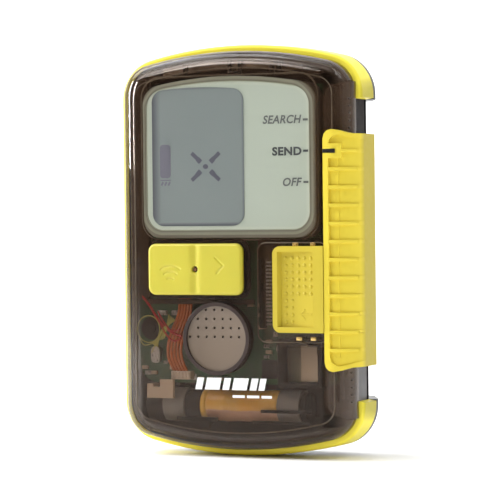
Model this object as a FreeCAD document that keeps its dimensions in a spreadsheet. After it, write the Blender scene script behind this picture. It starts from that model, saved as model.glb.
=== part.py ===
import FreeCAD, Part
import os
import Sketcher
from math import atan2, cos, degrees, hypot, pi, radians, sin, sqrt, tan

# Avalanche transceiver, millimetres.
# X is the width, right positive. Z is the height, up. The front faces -Y.
# The origin is the middle of the flat back face, so every depth is given as
# a distance "forward" of that face, and Y is minus that distance.

DIMENSIONS = {
    # case outline: nearly straight sides, crowned ends, round corners
    "case_half_width": 38.0,
    "case_half_height": 59.0,
    "corner_radius": 12.0,
    "crown_radius": 120.0,
    # how far forward of the back face each level of the case is
    "back_skin": 2.0,
    "rim_back": 10.6,
    "rim_forward": 12.2,
    "joint_forward": 20.1,
    "cover_edge_forward": 20.4,
    "cover_face_forward": 27.9,
    "back_taper": 27.0,
    "back_taper_in_gap": 25.6,
    # insets from the case outline
    "rim_inset": 0.0,
    "band_front_inset": 0.3,
    "cover_inset": 2.1,
    "wall_inset": 2.3,
    "wall_thickness": 1.6,
    "band_lip_radius": 0.9,
    "gap_half_height": 42.4,
    "gap_slant": 0.5,
    "gap_reach": 3.0,
    # front cover
    "cover_thickness": 1.5,
    "cover_side_round": 7.3,
    "cover_end_round": 5.0,
    "recess_left": 28.6,
    "recess_half_height": 46.4,
    "recess_flare": 1.8,
    "strip_radius": 5.6,
    "strip_thickness": 1.3,
    "groove_left": 31.6,
    "groove_right": 33.7,
    "groove_half_height": 42.2,
    "groove_floor": 24.9,
    # main slider
    "slider_left": 29.15,
    "slider_arc_x": 30.35,
    "slider_radius": 8.0,
    "slider_arc_forward": 20.75,
    "slider_back": 12.6,
    "slider_half_left": 33.8,
    "slider_half_right": 32.6,
    "slider_shell": 1.6,
    "slider_clearance": 5.9,
    "slider_corner": 2.6,
    "rib_pitch": 5.05,
    "rib_thickness": 1.0,
    "rib_count": 12,
    "rib_top": 27.75,
    "panel_rim": 1.6,
    "panel_depth": 1.0,
    "marker_width": 3.6,
    "marker_height": 1.15,
    "marker_depth": 0.5,
    "magnet_left": 32.1,
    "magnet_right": 33.2,
    "magnet_back": 25.3,
    "magnet_front": 26.3,
    "magnet_length": 6.0,
    # lock tab
    "lock_left": 13.6,
    "lock_right": 29.0,
    "lock_top": 1.3,
    "lock_bottom": -23.0,
    "lock_face": 29.0,
    "lock_back": 27.0,
    "lock_corner": 2.3,
    "lock_travel": 3.0,
    "lock_recess_left": 10.2,
    "lock_recess_top": 2.6,
    "lock_recess_bottom": -26.2,
    "lock_recess_floor": 26.6,
    "ramp_rim_left": 1.4,
    "ramp_rim_top": 1.6,
    "ramp_wall_slope": 0.8,
    "ramp_end": 25.9,
    "ramp_deep": 1.4,
    "ramp_shallow": 0.35,
    "bump_left": 17.25,
    "bump_top": -2.1,
    "bump_pitch": 1.98,
    "bump_radius": 0.55,
    "bump_height": 0.4,
    # double key
    "key_left": -25.8,
    "key_right": 4.0,
    "key_top": 2.1,
    "key_bottom": -12.6,
    "key_face": 28.7,
    "key_flange_front": 25.6,
    "key_flange_back": 24.9,
    "key_flange": 1.2,
    "key_corner": 2.3,
    "key_gap": 0.3,
    "light_hole_radius": 0.8,
    # display
    "frame_left": -28.05,
    "frame_right": 26.1,
    "frame_bottom": 3.6,
    "frame_top": 49.7,
    "glass_left": -26.9,
    "glass_right": 23.9,
    "glass_bottom": 6.0,
    "glass_top": 48.1,
    "glass_back": 24.4,
    "glass_front": 25.9,
    "film_left": -25.2,
    "film_right": 3.8,
    "film_bottom": 7.1,
    "film_top": 46.7,
    "film_thickness": 0.15,
    # speaker
    "speaker_x": -4.6,
    "speaker_z": -25.0,
    "speaker_ring_radius": 10.4,
    "speaker_disc_radius": 9.3,
    "speaker_dish_radius": 120.0,
    "sound_hole_radius": 0.36,
    "sound_hole_pitch_x": 2.57,
    "sound_hole_pitch_z": 2.56,
    "sound_hole_shift_x": -0.8,
    "sound_hole_shift_z": 0.5,
    # circuit board
    "board_half_width": 33.0,
    "board_bottom": -38.3,
    "board_top": 47.0,
    "board_back": 18.8,
    "board_front": 20.0,
    # long antenna across the bottom
    "antenna_z": -44.7,
    "antenna_forward": 18.0,
    "antenna_radius": 4.9,
    # battery compartment and its door
    "cell_radius": 5.25,
    "cell_length": 43.7,
    "cell_pitch": 11.0,
    "cell_mid_z": 25.9,
    "cell_forward": 7.6,
    "bay_half_width": 24.4,
    "bay_bottom": 9.4,
    "bay_top": 42.4,
    "bay_depth": 13.0,
    "door_half_width": 25.4,
    "door_bottom": 1.3,
    "door_top": 43.4,
    "door_outer": 0.1,
    "door_inner": 2.1,
    "door_gap": 0.3,
    "hinge_z": 45.4,
    "hinge_forward": 1.9,
    "knuckle_radius": 1.6,
    "knuckle_half_width": 20.5,
    "pin_radius": 0.75,
    "pin_play": 0.05,
    "door_lock_z": 4.9,
    "door_lock_radius": 3.0,
    # case screws and their bosses
    "screw_x": 28.0,
    "screw_top_z": 38.0,
    "screw_bottom_z": -34.0,
    "screw_head_radius": 1.7,
    "screw_shank_radius": 1.0,
    "boss_radius": 2.6,
    # lanyard eyelet
    "eyelet_x": -20.0,
    "eyelet_forward": 5.0,
    "eyelet_bore": 2.0,
    "eyelet_wall": 0.9,
    "eyelet_bottom": -52.8,
    "eyelet_top": -47.8,
}

doc = FreeCAD.newDocument("avalanche_transceiver")
sheet = doc.addObject("Spreadsheet::Sheet", "dims")
for row, (alias, number) in enumerate(DIMENSIONS.items(), start=1):
    sheet.set(f"A{row}", alias)
    sheet.set(f"B{row}", str(number))
    sheet.setAlias(f"B{row}", alias)
doc.recompute()


class Size:
    """A length that carries its number and the sheet formula that gives it."""

    def __init__(self, value, text):
        self.value = value
        self.text = text

    @staticmethod
    def of(other):
        return other if isinstance(other, Size) else Size(float(other), f"({other})")

    def join(self, other, sign, value):
        return Size(value, f"({self.text} {sign} {other.text})")

    def __add__(self, other):
        other = Size.of(other)
        return self.join(other, "+", self.value + other.value)

    def __sub__(self, other):
        other = Size.of(other)
        return self.join(other, "-", self.value - other.value)

    def __mul__(self, other):
        other = Size.of(other)
        return self.join(other, "*", self.value * other.value)

    def __truediv__(self, other):
        other = Size.of(other)
        return self.join(other, "/", self.value / other.value)

    def __radd__(self, other):
        return Size.of(other) + self

    def __rsub__(self, other):
        return Size.of(other) - self

    def __rmul__(self, other):
        return Size.of(other) * self

    def __neg__(self):
        return Size(-self.value, f"(0 - {self.text})")


class Sheet:
    """Reads a cell as a Size, by its alias."""

    def __getattr__(self, alias):
        return Size(DIMENSIONS[alias], f"dims.{alias}")


d = Sheet()
NODES = []


def bind(thing, prop, size):
    thing.setExpression(prop, Size.of(size).text)


def node(name, thing):
    """Mark an object as a finished sub-part."""
    thing.Label = name
    NODES.append(thing)
    return thing


# ---------------------------------------------------------------- solids

AXIS_TURN = {
    "X": FreeCAD.Rotation(FreeCAD.Vector(0, 1, 0), 90),
    "Y": FreeCAD.Rotation(FreeCAD.Vector(1, 0, 0), -90),
    "Z": FreeCAD.Rotation(),
}


def put(thing, x, y, z):
    bind(thing, "Placement.Base.x", x)
    bind(thing, "Placement.Base.y", y)
    bind(thing, "Placement.Base.z", z)
    return thing


def box(name, x, forward, z):
    """A block between pairs of x, forward and z limits."""
    block = doc.addObject("Part::Box", name)
    bind(block, "Length", x[1] - Size.of(x[0]))
    bind(block, "Width", forward[1] - Size.of(forward[0]))
    bind(block, "Height", z[1] - Size.of(z[0]))
    return put(block, x[0], -Size.of(forward[1]), z[0])


def rod(name, axis, radius, x, forward, z):
    """A round bar along one axis: the pair of limits says which way it runs."""
    bar = doc.addObject("Part::Cylinder", name)
    bar.Placement = FreeCAD.Placement(FreeCAD.Vector(), AXIS_TURN[axis])
    bind(bar, "Radius", radius)
    if axis == "X":
        bind(bar, "Height", x[1] - Size.of(x[0]))
        return put(bar, x[0], -Size.of(forward), z)
    if axis == "Y":
        bind(bar, "Height", forward[1] - Size.of(forward[0]))
        return put(bar, x, -Size.of(forward[1]), z)
    bind(bar, "Height", z[1] - Size.of(z[0]))
    return put(bar, x, -Size.of(forward), z[0])


def ball(name, radius, x, forward, z):
    sphere = doc.addObject("Part::Sphere", name)
    bind(sphere, "Radius", radius)
    return put(sphere, x, -Size.of(forward), z)


def cut(name, base, *tools):
    result = doc.addObject("Part::Cut", name)
    result.Base = base
    result.Tool = tools[0] if len(tools) == 1 else fuse(name + "_tools", *tools)
    return result


def fuse(name, *parts):
    result = doc.addObject("Part::MultiFuse", name)
    result.Shapes = list(parts)
    result.Refine = True
    return result


def common(name, *parts):
    result = doc.addObject("Part::MultiCommon", name)
    result.Shapes = list(parts)
    return result


def group(name, *parts):
    """Separate solids of one kind, kept in one node."""
    result = doc.addObject("Part::Compound", name)
    result.Links = list(parts)
    return result


def ring(name, axis, outer, inner, x, forward, z):
    return cut(
        name,
        rod(name + "_outside", axis, outer, x, forward, z),
        rod(name + "_hole", axis, inner, x, forward, z),
    )


def rounded(name, base, radius, wanted):
    """Round the edges of a solid that the test function picks."""
    doc.recompute()
    result = doc.addObject("Part::Fillet", name)
    result.Base = base
    chosen = []
    for number, edge in enumerate(base.Shape.Edges, start=1):
        if wanted(edge):
            pair = radius(edge) if callable(radius) else (radius, radius)
            chosen.append((number, *pair))
    result.Edges = chosen
    return result


# -------------------------------------------------------------- sketches

def plane_of(body, role):
    for feature in body.Origin.OriginFeatures:
        if feature.Role == role:
            return feature
    raise ValueError(role)


def sketch_on(body, name, offset):
    """A sketch parallel to the back face, a given distance forward of it."""
    sketch = body.newObject("Sketcher::SketchObject", name)
    sketch.AttachmentSupport = [(plane_of(body, "XZ_Plane"), "")]
    sketch.MapMode = "FlatFace"
    bind(sketch, "AttachmentOffset.Base.z", offset)
    return sketch


def hold(sketch, kind, *where, size=None):
    """Add a constraint, and bind it to the sheet when it has a size."""
    if size is None:
        return sketch.addConstraint(Sketcher.Constraint(kind, *where))
    size = Size.of(size)
    number = sketch.addConstraint(Sketcher.Constraint(kind, *where, size.value))
    sketch.setExpression(f"Constraints[{number}]", size.text)
    return number


def line(sketch, start, end):
    first = FreeCAD.Vector(start[0], start[1], 0)
    last = FreeCAD.Vector(end[0], end[1], 0)
    return sketch.addGeometry(Part.LineSegment(first, last))


def arc(sketch, centre, radius, start, end):
    circle = Part.Circle(FreeCAD.Vector(*centre, 0), FreeCAD.Vector(0, 0, 1), radius)
    return sketch.addGeometry(Part.ArcOfCircle(circle, start, end))


def join_smoothly(sketch, chain):
    for piece, following in zip(chain, chain[1:] + chain[:1]):
        hold(sketch, "Tangent", piece, 2, following, 1)


def same_radius(sketch, arcs, radius):
    hold(sketch, "Radius", arcs[0], size=radius)
    for other in arcs[1:]:
        hold(sketch, "Equal", arcs[0], other)


def rectangle(x, z, corner):
    """Outline: a rectangle with four round corners."""
    def draw(sketch):
        x0, x1 = Size.of(x[0]), Size.of(x[1])
        z0, z1 = Size.of(z[0]), Size.of(z[1])
        radius = Size.of(corner)
        left, right, low, high, r = x0.value, x1.value, z0.value, z1.value, radius.value
        bottom = line(sketch, (left + r, low), (right - r, low))
        low_right = arc(sketch, (right - r, low + r), r, 1.5 * pi, 2 * pi)
        side_right = line(sketch, (right, low + r), (right, high - r))
        high_right = arc(sketch, (right - r, high - r), r, 0, pi / 2)
        top = line(sketch, (right - r, high), (left + r, high))
        high_left = arc(sketch, (left + r, high - r), r, pi / 2, pi)
        side_left = line(sketch, (left, high - r), (left, low + r))
        low_left = arc(sketch, (left + r, low + r), r, pi, 1.5 * pi)
        join_smoothly(sketch, [
            bottom, low_right, side_right, high_right, top, high_left, side_left, low_left,
        ])
        hold(sketch, "Horizontal", bottom)
        hold(sketch, "Horizontal", top)
        hold(sketch, "Vertical", side_right)
        hold(sketch, "Vertical", side_left)
        same_radius(sketch, [low_right, high_right, high_left, low_left], radius)
        hold(sketch, "DistanceX", -1, 1, side_left, 1, size=x0)
        hold(sketch, "DistanceX", -1, 1, side_right, 1, size=x1)
        hold(sketch, "DistanceY", -1, 1, bottom, 1, size=z0)
        hold(sketch, "DistanceY", -1, 1, top, 1, size=z1)
    return draw


def crowned(inset):
    """Outline of the case, drawn in by an inset: crowned ends and round corners."""
    half_width = d.case_half_width - inset
    half_height = d.case_half_height - inset
    corner = d.corner_radius - inset
    crown = d.crown_radius

    def draw(sketch):
        w, top, r, big = half_width.value, half_height.value, corner.value, crown.value
        centre = top - big
        corner_x = w - r
        corner_z = centre + sqrt((big - r) ** 2 - corner_x ** 2)
        turn = atan2(corner_z - centre, corner_x)
        right = line(sketch, (w, -corner_z), (w, corner_z))
        upper_right = arc(sketch, (corner_x, corner_z), r, 0, turn)
        upper = arc(sketch, (0, centre), big, turn, pi - turn)
        upper_left = arc(sketch, (-corner_x, corner_z), r, pi - turn, pi)
        left = line(sketch, (-w, corner_z), (-w, -corner_z))
        lower_left = arc(sketch, (-corner_x, -corner_z), r, pi, pi + turn)
        lower = arc(sketch, (0, -centre), big, pi + turn, 2 * pi - turn)
        lower_right = arc(sketch, (corner_x, -corner_z), r, 2 * pi - turn, 2 * pi)
        join_smoothly(sketch, [
            right, upper_right, upper, upper_left, left, lower_left, lower, lower_right,
        ])
        hold(sketch, "Vertical", right)
        hold(sketch, "Vertical", left)
        same_radius(sketch, [upper_right, upper_left, lower_left, lower_right], corner)
        same_radius(sketch, [upper, lower], crown)
        hold(sketch, "DistanceX", -1, 1, right, 1, size=half_width)
        hold(sketch, "DistanceX", -1, 1, left, 1, size=-half_width)
        hold(sketch, "PointOnObject", upper, 3, -2)
        hold(sketch, "PointOnObject", lower, 3, -2)
        hold(sketch, "DistanceY", -1, 1, upper, 3, size=half_height - crown)
        hold(sketch, "DistanceY", -1, 1, lower, 3, size=crown - half_height)
    return draw


def arched(x, z, corner):
    """Outline: flat bottom, round corners and a gently crowned top."""
    x0, x1 = Size.of(x[0]), Size.of(x[1])
    z0, z1 = Size.of(z[0]), Size.of(z[1])
    radius = Size.of(corner)
    crown = d.crown_radius
    middle = (x0 + x1) / 2

    def draw(sketch):
        left, right, low, high = x0.value, x1.value, z0.value, z1.value
        r, big, mid = radius.value, crown.value, middle.value
        centre = high - big
        reach = right - r - mid
        corner_z = centre + sqrt((big - r) ** 2 - reach ** 2)
        turn = atan2(corner_z - centre, reach)
        bottom = line(sketch, (left + r, low), (right - r, low))
        low_right = arc(sketch, (right - r, low + r), r, 1.5 * pi, 2 * pi)
        side_right = line(sketch, (right, low + r), (right, corner_z))
        high_right = arc(sketch, (right - r, corner_z), r, 0, turn)
        top = arc(sketch, (mid, centre), big, turn, pi - turn)
        high_left = arc(sketch, (left + r, corner_z), r, pi - turn, pi)
        side_left = line(sketch, (left, corner_z), (left, low + r))
        low_left = arc(sketch, (left + r, low + r), r, pi, 1.5 * pi)
        join_smoothly(sketch, [
            bottom, low_right, side_right, high_right, top, high_left, side_left, low_left,
        ])
        hold(sketch, "Horizontal", bottom)
        hold(sketch, "Vertical", side_right)
        hold(sketch, "Vertical", side_left)
        same_radius(sketch, [low_right, high_right, high_left, low_left], radius)
        hold(sketch, "Radius", top, size=crown)
        hold(sketch, "DistanceX", -1, 1, side_left, 1, size=x0)
        hold(sketch, "DistanceX", -1, 1, side_right, 1, size=x1)
        hold(sketch, "DistanceX", -1, 1, top, 3, size=middle)
        hold(sketch, "DistanceY", -1, 1, bottom, 1, size=z0)
        hold(sketch, "DistanceY", -1, 1, top, 3, size=z1 - crown)
    return draw


def polygon(*corners):
    """Outline: straight lines through (x, z) corners."""
    def draw(sketch):
        points = [(Size.of(x), Size.of(z)) for x, z in corners]
        values = [(x.value, z.value) for x, z in points]
        lines = [line(sketch, a, b) for a, b in zip(values, values[1:] + values[:1])]
        for this, following in zip(lines, lines[1:] + lines[:1]):
            hold(sketch, "Coincident", this, 2, following, 1)
        for this, (x, z) in zip(lines, points):
            hold(sketch, "DistanceX", -1, 1, this, 1, size=x)
            hold(sketch, "DistanceY", -1, 1, this, 1, size=z)
    return draw


def slab(name, outline, forward, taper=None):
    """A body padded from an outline, from one forward level to another."""
    body = doc.addObject("PartDesign::Body", name)
    add_level(body, name, "Pad", outline, forward, taper)
    return body


def add_level(body, name, kind, outline, forward, taper=None):
    """Pad or pocket an outline; it narrows by the taper angle on the way."""
    near, far = Size.of(forward[0]), Size.of(forward[1])
    ahead = far.value > near.value
    sketch = sketch_on(body, name + "_sketch", near)
    outline(sketch)
    feature = body.newObject("PartDesign::" + kind, name + "_" + kind.lower())
    feature.Profile = sketch
    feature.Reversed = ahead if kind == "Pocket" else not ahead
    bind(feature, "Length", far - near if ahead else near - far)
    if taper is not None:
        bind(feature, "TaperAngle", -taper)
    sketch.Visibility = False
    doc.recompute()
    return feature


# ----------------------------------------------------------- wires

def route_shape(points, radius):
    """A wire's solid: straight runs joined by tangent arcs, swept with a circle."""
    points = [FreeCAD.Vector(x, -forward, z) for x, forward, z in points]
    edges = []
    start = points[0]
    for before, here, after in zip(points, points[1:], points[2:]):
        incoming = (here - before).normalize()
        outgoing = (after - here).normalize()
        turn = incoming.getAngle(outgoing)
        shorter = min((here - before).Length, (after - here).Length)
        reach = 0.45 * shorter
        bend = reach / tan(turn / 2)
        arc_start = here - incoming * reach
        arc_end = here + outgoing * reach
        inward = (outgoing - incoming).normalize()
        middle = here + inward * (bend / cos(turn / 2) - bend)
        edges.append(Part.LineSegment(start, arc_start).toShape())
        edges.append(Part.Arc(arc_start, middle, arc_end).toShape())
        start = arc_end
    edges.append(Part.LineSegment(start, points[-1]).toShape())
    path = Part.Wire(edges)
    first = (points[1] - points[0]).normalize()
    section = Part.Wire([Part.Circle(points[0], first, radius).toShape()])
    return path.makePipeShell([section], True, False)


def wires(name, radius, *routes):
    feature = doc.addObject("Part::Feature", name)
    solids = [route_shape(route, radius) for route in routes]
    feature.Shape = solids[0] if len(solids) == 1 else Part.makeCompound(solids)
    feature.Placement = FreeCAD.Placement()
    return feature


# ------------------------------------------------------------ rear case

def side_profile(name, half_height, *corners):
    """A body with a profile across the case, seen from above, about mid height."""
    body = doc.addObject("PartDesign::Body", name)
    sketch = body.newObject("Sketcher::SketchObject", name + "_sketch")
    sketch.AttachmentSupport = [(plane_of(body, "XY_Plane"), "")]
    sketch.MapMode = "FlatFace"
    polygon(*[(x, -Size.of(forward)) for x, forward in corners])(sketch)
    pad = body.newObject("PartDesign::Pad", name + "_pad")
    pad.Profile = sketch
    pad.Midplane = True
    bind(pad, "Length", half_height * 2)
    sketch.Visibility = False
    doc.recompute()
    return body


def gap_wedge():
    """What the bare side loses behind its wall, so that nothing stands beside the slider."""
    wall = d.case_half_width - d.wall_inset
    slope = tan(radians(d.back_taper_in_gap.value))
    return side_profile(
        "gap_wedge", d.gap_half_height,
        (wall, d.joint_forward + 1),
        (wall + 5, d.joint_forward + 1),
        (wall + 5, -1),
        (wall - (d.rim_forward + 1) * slope, -1),
        (wall, d.rim_forward),
    )


def screw_places():
    for side in (-1, 1):
        for z in (d.screw_top_z, d.screw_bottom_z):
            yield side * d.screw_x, z


def make_case_shell():
    shell = doc.addObject("PartDesign::Body", "rear_case_shell")
    inner = d.wall_inset + d.wall_thickness
    step = 12.4
    add_level(shell, "rear_case_rim", "Pad", crowned(d.rim_inset), (d.rim_back, d.rim_forward))
    add_level(shell, "rear_case_back", "Pad", crowned(d.rim_inset), (d.rim_back, 0), d.back_taper)
    add_level(shell, "rear_case_wall", "Pad", crowned(d.wall_inset), (d.rim_forward, d.joint_forward))
    add_level(shell, "rear_case_room", "Pocket", crowned(inner), (d.joint_forward, step))
    add_level(
        shell, "rear_case_hollow", "Pocket", crowned(inner), (step, d.back_skin), d.back_taper,
    )
    return shell


def make_rear_case():
    shell = make_case_shell()
    recess_side = d.door_half_width + d.door_gap
    bay_side = d.bay_half_width
    bay_wall = 1.2
    eyelet_outside = d.eyelet_bore + d.eyelet_wall
    pocket_side = 3.0
    pocket_top = d.eyelet_top + 6.8
    added = [
        box("bay_walls", (-bay_side - bay_wall, bay_side + bay_wall), (0, d.bay_depth + bay_wall),
            (d.bay_bottom - bay_wall, d.bay_top + bay_wall)),
        box("door_backing", (-recess_side - 1.3, recess_side + 1.3), (0, 5.2), (-0.4, 49.3)),
        box("door_lock_backing", (-5.6, 5.6), (0, 6.2), (0.2, 8.6)),
    ]
    for x, z in screw_places():
        added.append(rod("screw_boss", "Y", d.boss_radius, x, (0, d.board_back), z))
    eyelet_block = common(
        "eyelet_block_trimmed",
        box("eyelet_block", (d.eyelet_x - 4.2, d.eyelet_x + 4.2), (0, 9.6), (-54.2, pocket_top + 1.2)),
        slab("eyelet_limit", crowned(d.rim_inset), (d.rim_back, 0), d.back_taper),
    )
    solid = fuse("rear_case_solid", shell, eyelet_block, *added)
    door_top_gap = d.hinge_z + 2.5
    removed = [
        gap_wedge(),
        box("door_recess", (-recess_side, recess_side), (-1, 2.4), (1.0, door_top_gap)),
        box("hinge_recess", (-recess_side, recess_side), (-1, 4.0), (43.4, door_top_gap)),
        box("battery_bay", (-bay_side, bay_side), (-1, d.bay_depth), (d.bay_bottom, d.bay_top)),
        box("door_lock_pocket", (-3.4, 3.4), (-1, 5.0), (1.5, 8.3)),
        box("lanyard_pocket", (d.eyelet_x - pocket_side, d.eyelet_x + pocket_side), (-1, 8.2),
            (d.eyelet_top, pocket_top)),
        rod("eyelet_seat", "Z", eyelet_outside, d.eyelet_x, d.eyelet_forward, (-62, d.eyelet_top)),
        slider_lip_groove(),
    ]
    for x, z in screw_places():
        removed.append(rod("screw_counterbore", "Y", d.screw_head_radius + 0.1, x, (-1, 3.0), z))
        removed.append(rod("screw_hole", "Y", d.screw_shank_radius, x, (-1, 15.0), z))
    body = cut("rear_case_hollowed", solid, *removed)
    knuckles = []
    for low, high in ((-recess_side, -21), (21, recess_side)):
        knuckles.append(rod("case_knuckle", "X", d.knuckle_radius, (low, high), d.hinge_forward, d.hinge_z))
        knuckles.append(box("case_knuckle_web", (low, high), (d.hinge_forward, 4.0), (44.2, 46.6)))
    pin_hole = rod("pin_hole", "X", d.pin_radius, (-25.2, 25.2), d.hinge_forward, d.hinge_z)
    node("rear_case", cut("rear_case_finished", fuse("rear_case_knuckled", body, *knuckles), pin_hole))


def slider_lip_groove():
    """The groove in the bare side wall that the slider's back lip runs in."""
    wall = d.case_half_width - d.wall_inset
    back = d.slider_back
    return box("slider_lip_groove", (wall - 0.8, wall + 1), (back - 0.3, back + 1.1), (-43, 43))


def make_case_fittings():
    seal = cut(
        "case_seal_ring",
        slab("case_seal_outside", crowned(d.wall_inset + 0.1), (d.joint_forward, d.cover_edge_forward)),
        slab("case_seal_inside", crowned(d.wall_inset + 1.4), (d.joint_forward, d.cover_edge_forward)),
    )
    node("case_seal", seal)
    head = d.screw_head_radius
    screws = []
    for x, z in screw_places():
        screw = fuse(
            "screw",
            rod("screw_head", "Y", head, x, (1.6, 3.0), z),
            rod("screw_shank", "Y", d.screw_shank_radius, x, (2.0, 14.6), z),
        )
        bar = box("screw_slot_bar", (x - 1.1, x + 1.1), (1.0, 2.2), (z - 0.22, z + 0.22))
        cross = box("screw_slot_cross", (x - 0.22, x + 0.22), (1.0, 2.2), (z - 1.1, z + 1.1))
        screws.append(cut("case_screw", screw, bar, cross))
    node("case_screws", group("case_screw_set", *screws))
    eyelet = ring(
        "eyelet_tube", "Z", d.eyelet_bore + d.eyelet_wall, d.eyelet_bore,
        d.eyelet_x, d.eyelet_forward, (d.eyelet_bottom, d.eyelet_top),
    )
    node("lanyard_eyelet", eyelet)


# ---------------------------------------------------------- bumper band

def make_bumper_band():
    """A C of soft plastic round the rim, open where the slider runs."""
    front, back = d.cover_edge_forward, d.rim_forward
    outer = slab("band_outside", crowned(d.band_front_inset), (front, back), -band_draft())
    lipped = rounded("band_lip", outer, d.band_lip_radius.value, lambda edge: on_level(edge, front))
    inner = slab("band_inside", crowned(d.wall_inset), (front + 1, back - 1))
    half = d.gap_half_height
    wall = d.case_half_width - d.wall_inset
    inside, outside = wall - d.gap_reach - 1, wall + d.gap_reach
    notch = slab("band_gap", polygon(
        (inside, -half + d.gap_slant), (outside, -half - d.gap_slant),
        (outside, half + d.gap_slant), (inside, half - d.gap_slant),
    ), (front + 1, back - 1))
    node("bumper_band", cut("bumper_band_shape", lipped, inner, notch))


def band_draft():
    depth = d.cover_edge_forward - d.rim_forward
    return Size(degrees(atan2(d.band_front_inset.value, depth.value)),
                f"(atan({d.band_front_inset.text} / {depth.text}) / 1 deg)")


def on_level(edge, forward):
    box_of = edge.BoundBox
    return abs(box_of.YMin + forward.value) < 0.001 and abs(box_of.YMax + forward.value) < 0.001


# ---------------------------------------------------------- front cover

def dome(name, inset, back, front, side_round, end_round):
    """The cover's form: straight skirt, then a shoulder wider at the sides than at the ends."""
    block = slab(name + "_block", crowned(inset), (back, front))

    def shoulder(edge):
        if edge.Curve.TypeId == "Part::GeomLine":
            return side_round, side_round
        if edge.Curve.Radius > 50:
            return end_round, end_round
        first_z = abs(edge.valueAt(edge.FirstParameter).z)
        last_z = abs(edge.valueAt(edge.LastParameter).z)
        return (side_round, end_round) if first_z < last_z else (end_round, side_round)

    return rounded(name, block, shoulder, lambda edge: on_level(edge, front))


def quarter(name, radius, z, back=None):
    """A bar, flat in front, whose arc turns from there to the right side."""
    bar = doc.addObject("Part::Cylinder", name)
    turn = FreeCAD.Rotation(FreeCAD.Vector(0, 0, 1), -90)
    bar.Placement = FreeCAD.Placement(FreeCAD.Vector(), turn)
    bind(bar, "Radius", radius)
    bind(bar, "Height", z[1] - Size.of(z[0]))
    bar.Angle = 90
    centre = d.slider_arc_forward
    put(bar, d.slider_arc_x, -centre, z[0])
    flat = box(name + "_flat", (d.slider_left, d.slider_arc_x), (centre, centre + radius), z)
    if back is None:
        return fuse(name + "_with_flat", bar, flat)
    side = box(name + "_side", (d.slider_left, d.slider_arc_x + radius), (back, centre), z)
    return fuse(name + "_with_side", bar, flat, side)


def make_front_cover():
    skirt = d.cover_edge_forward
    face = d.cover_face_forward
    thick = d.cover_thickness
    sides, ends = d.cover_side_round.value, d.cover_end_round.value
    wall = thick.value
    outside = dome("cover_outside", d.cover_inset, skirt, face, sides, ends)
    inside = dome("cover_inside", d.cover_inset + thick, skirt - 1, face - thick, sides - wall, ends - wall)
    shell = cut("cover_shell", outside, inside)
    high = d.recess_half_height
    left = d.recess_left
    recess = slab("slider_recess", polygon(
        (left, -high + 2), (left + 1.2, -high + 0.4), (left + 3, -high), (left + 5, -high - 0.7),
        (left + 10, -high - d.recess_flare), (left + 10, high + d.recess_flare),
        (left + 5, high + 0.7), (left + 3, high), (left + 1.2, high - 0.4), (left, high - 2),
    ), (skirt - 1, face + 2))
    end_depth = high + d.recess_flare + 1.4
    ends_block = [
        box("recess_end", (left - 1.2, 40), (skirt, face + 1), (high - 3, end_depth)),
        box("recess_end", (left - 1.2, 40), (skirt, face + 1), (-end_depth, 3 - high)),
    ]
    end_walls = common("recess_end_walls", fuse("recess_ends", *ends_block), outside)
    strip_inner = d.strip_radius - d.strip_thickness
    reach = high + 0.8
    strip = cut(
        "slider_strip",
        quarter("strip_outside", d.strip_radius, (-reach, reach), skirt),
        quarter("strip_inside", strip_inner, (-reach - 1, reach + 1), skirt - 1),
    )
    step = box("recess_step", (left - 1.2, d.slider_left), (25.0, face), (-reach, reach))
    step_top = box("recess_step_top", (left, d.slider_left + 1), (26.35, face + 1), (-high + 2, high - 2))
    lock_floor = d.lock_recess_floor
    lock_block = box(
        "lock_block", (d.lock_recess_left - 1.2, d.slider_left), (lock_floor - 1.2, face),
        (d.lock_recess_bottom - 1.2, d.lock_recess_top + 0.8),
    )
    shaped = fuse(
        "cover_with_recesses",
        cut("cover_open_side", fuse("cover_with_ends", shell, end_walls), recess),
        strip,
        cut("recess_step_cut", step, step_top),
        cut("lock_block_cut", lock_block, box(
            "lock_block_step", (left, d.slider_left + 1), (26.35, face + 1),
            (d.lock_recess_bottom - 2, d.lock_recess_top + 2))),
    )
    gap = d.key_gap
    foot_left, foot_right = 20.0, 26.0
    removed = [
        slab("lock_recess", rectangle(
            (d.lock_recess_left, d.slider_left + 4), (d.lock_recess_bottom, d.lock_recess_top), 3.0),
            (lock_floor, face + 1)),
        box("lock_slot", (foot_left - d.lock_travel - gap, foot_right + gap), (20, 28), (-15.3, -8.7)),
        slab("key_opening", rectangle(
            (d.key_left - gap, d.key_right + gap), (d.key_bottom - gap, d.key_top + gap),
            d.key_corner + gap), (face - 3, face + 1)),
        rod("speaker_opening", "Y", d.speaker_ring_radius, d.speaker_x, (25, 30), d.speaker_z),
        box("guide_groove", (d.groove_left, d.groove_right), (d.groove_floor, 28),
            (-d.groove_half_height, d.groove_half_height)),
    ]
    node("front_cover", cut("front_cover_shape", shaped, *removed))


# ---------------------------------------------------------- main slider

def slider_silhouette(name, inset):
    """The slider seen from the front: tall at the left, an S curve down to the right."""
    left = d.slider_left + inset
    high = d.slider_half_left - inset
    low = d.slider_half_right - inset
    outline = polygon(
        (left, d.slider_corner - high), (left + 0.4, -high + 1.2), (left + 1.2, -high + 0.4),
        (left + 2.4, -high), (left + 4.4, -high + 0.35), (left + 7.0, -low), (44, -low),
        (44, low), (left + 7.0, low), (left + 4.4, high - 0.35), (left + 2.4, high),
        (left + 1.2, high - 0.4), (left + 0.4, high - 1.2), (left, high - d.slider_corner),
    )
    return slab(name, outline, (8, 31))


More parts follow.
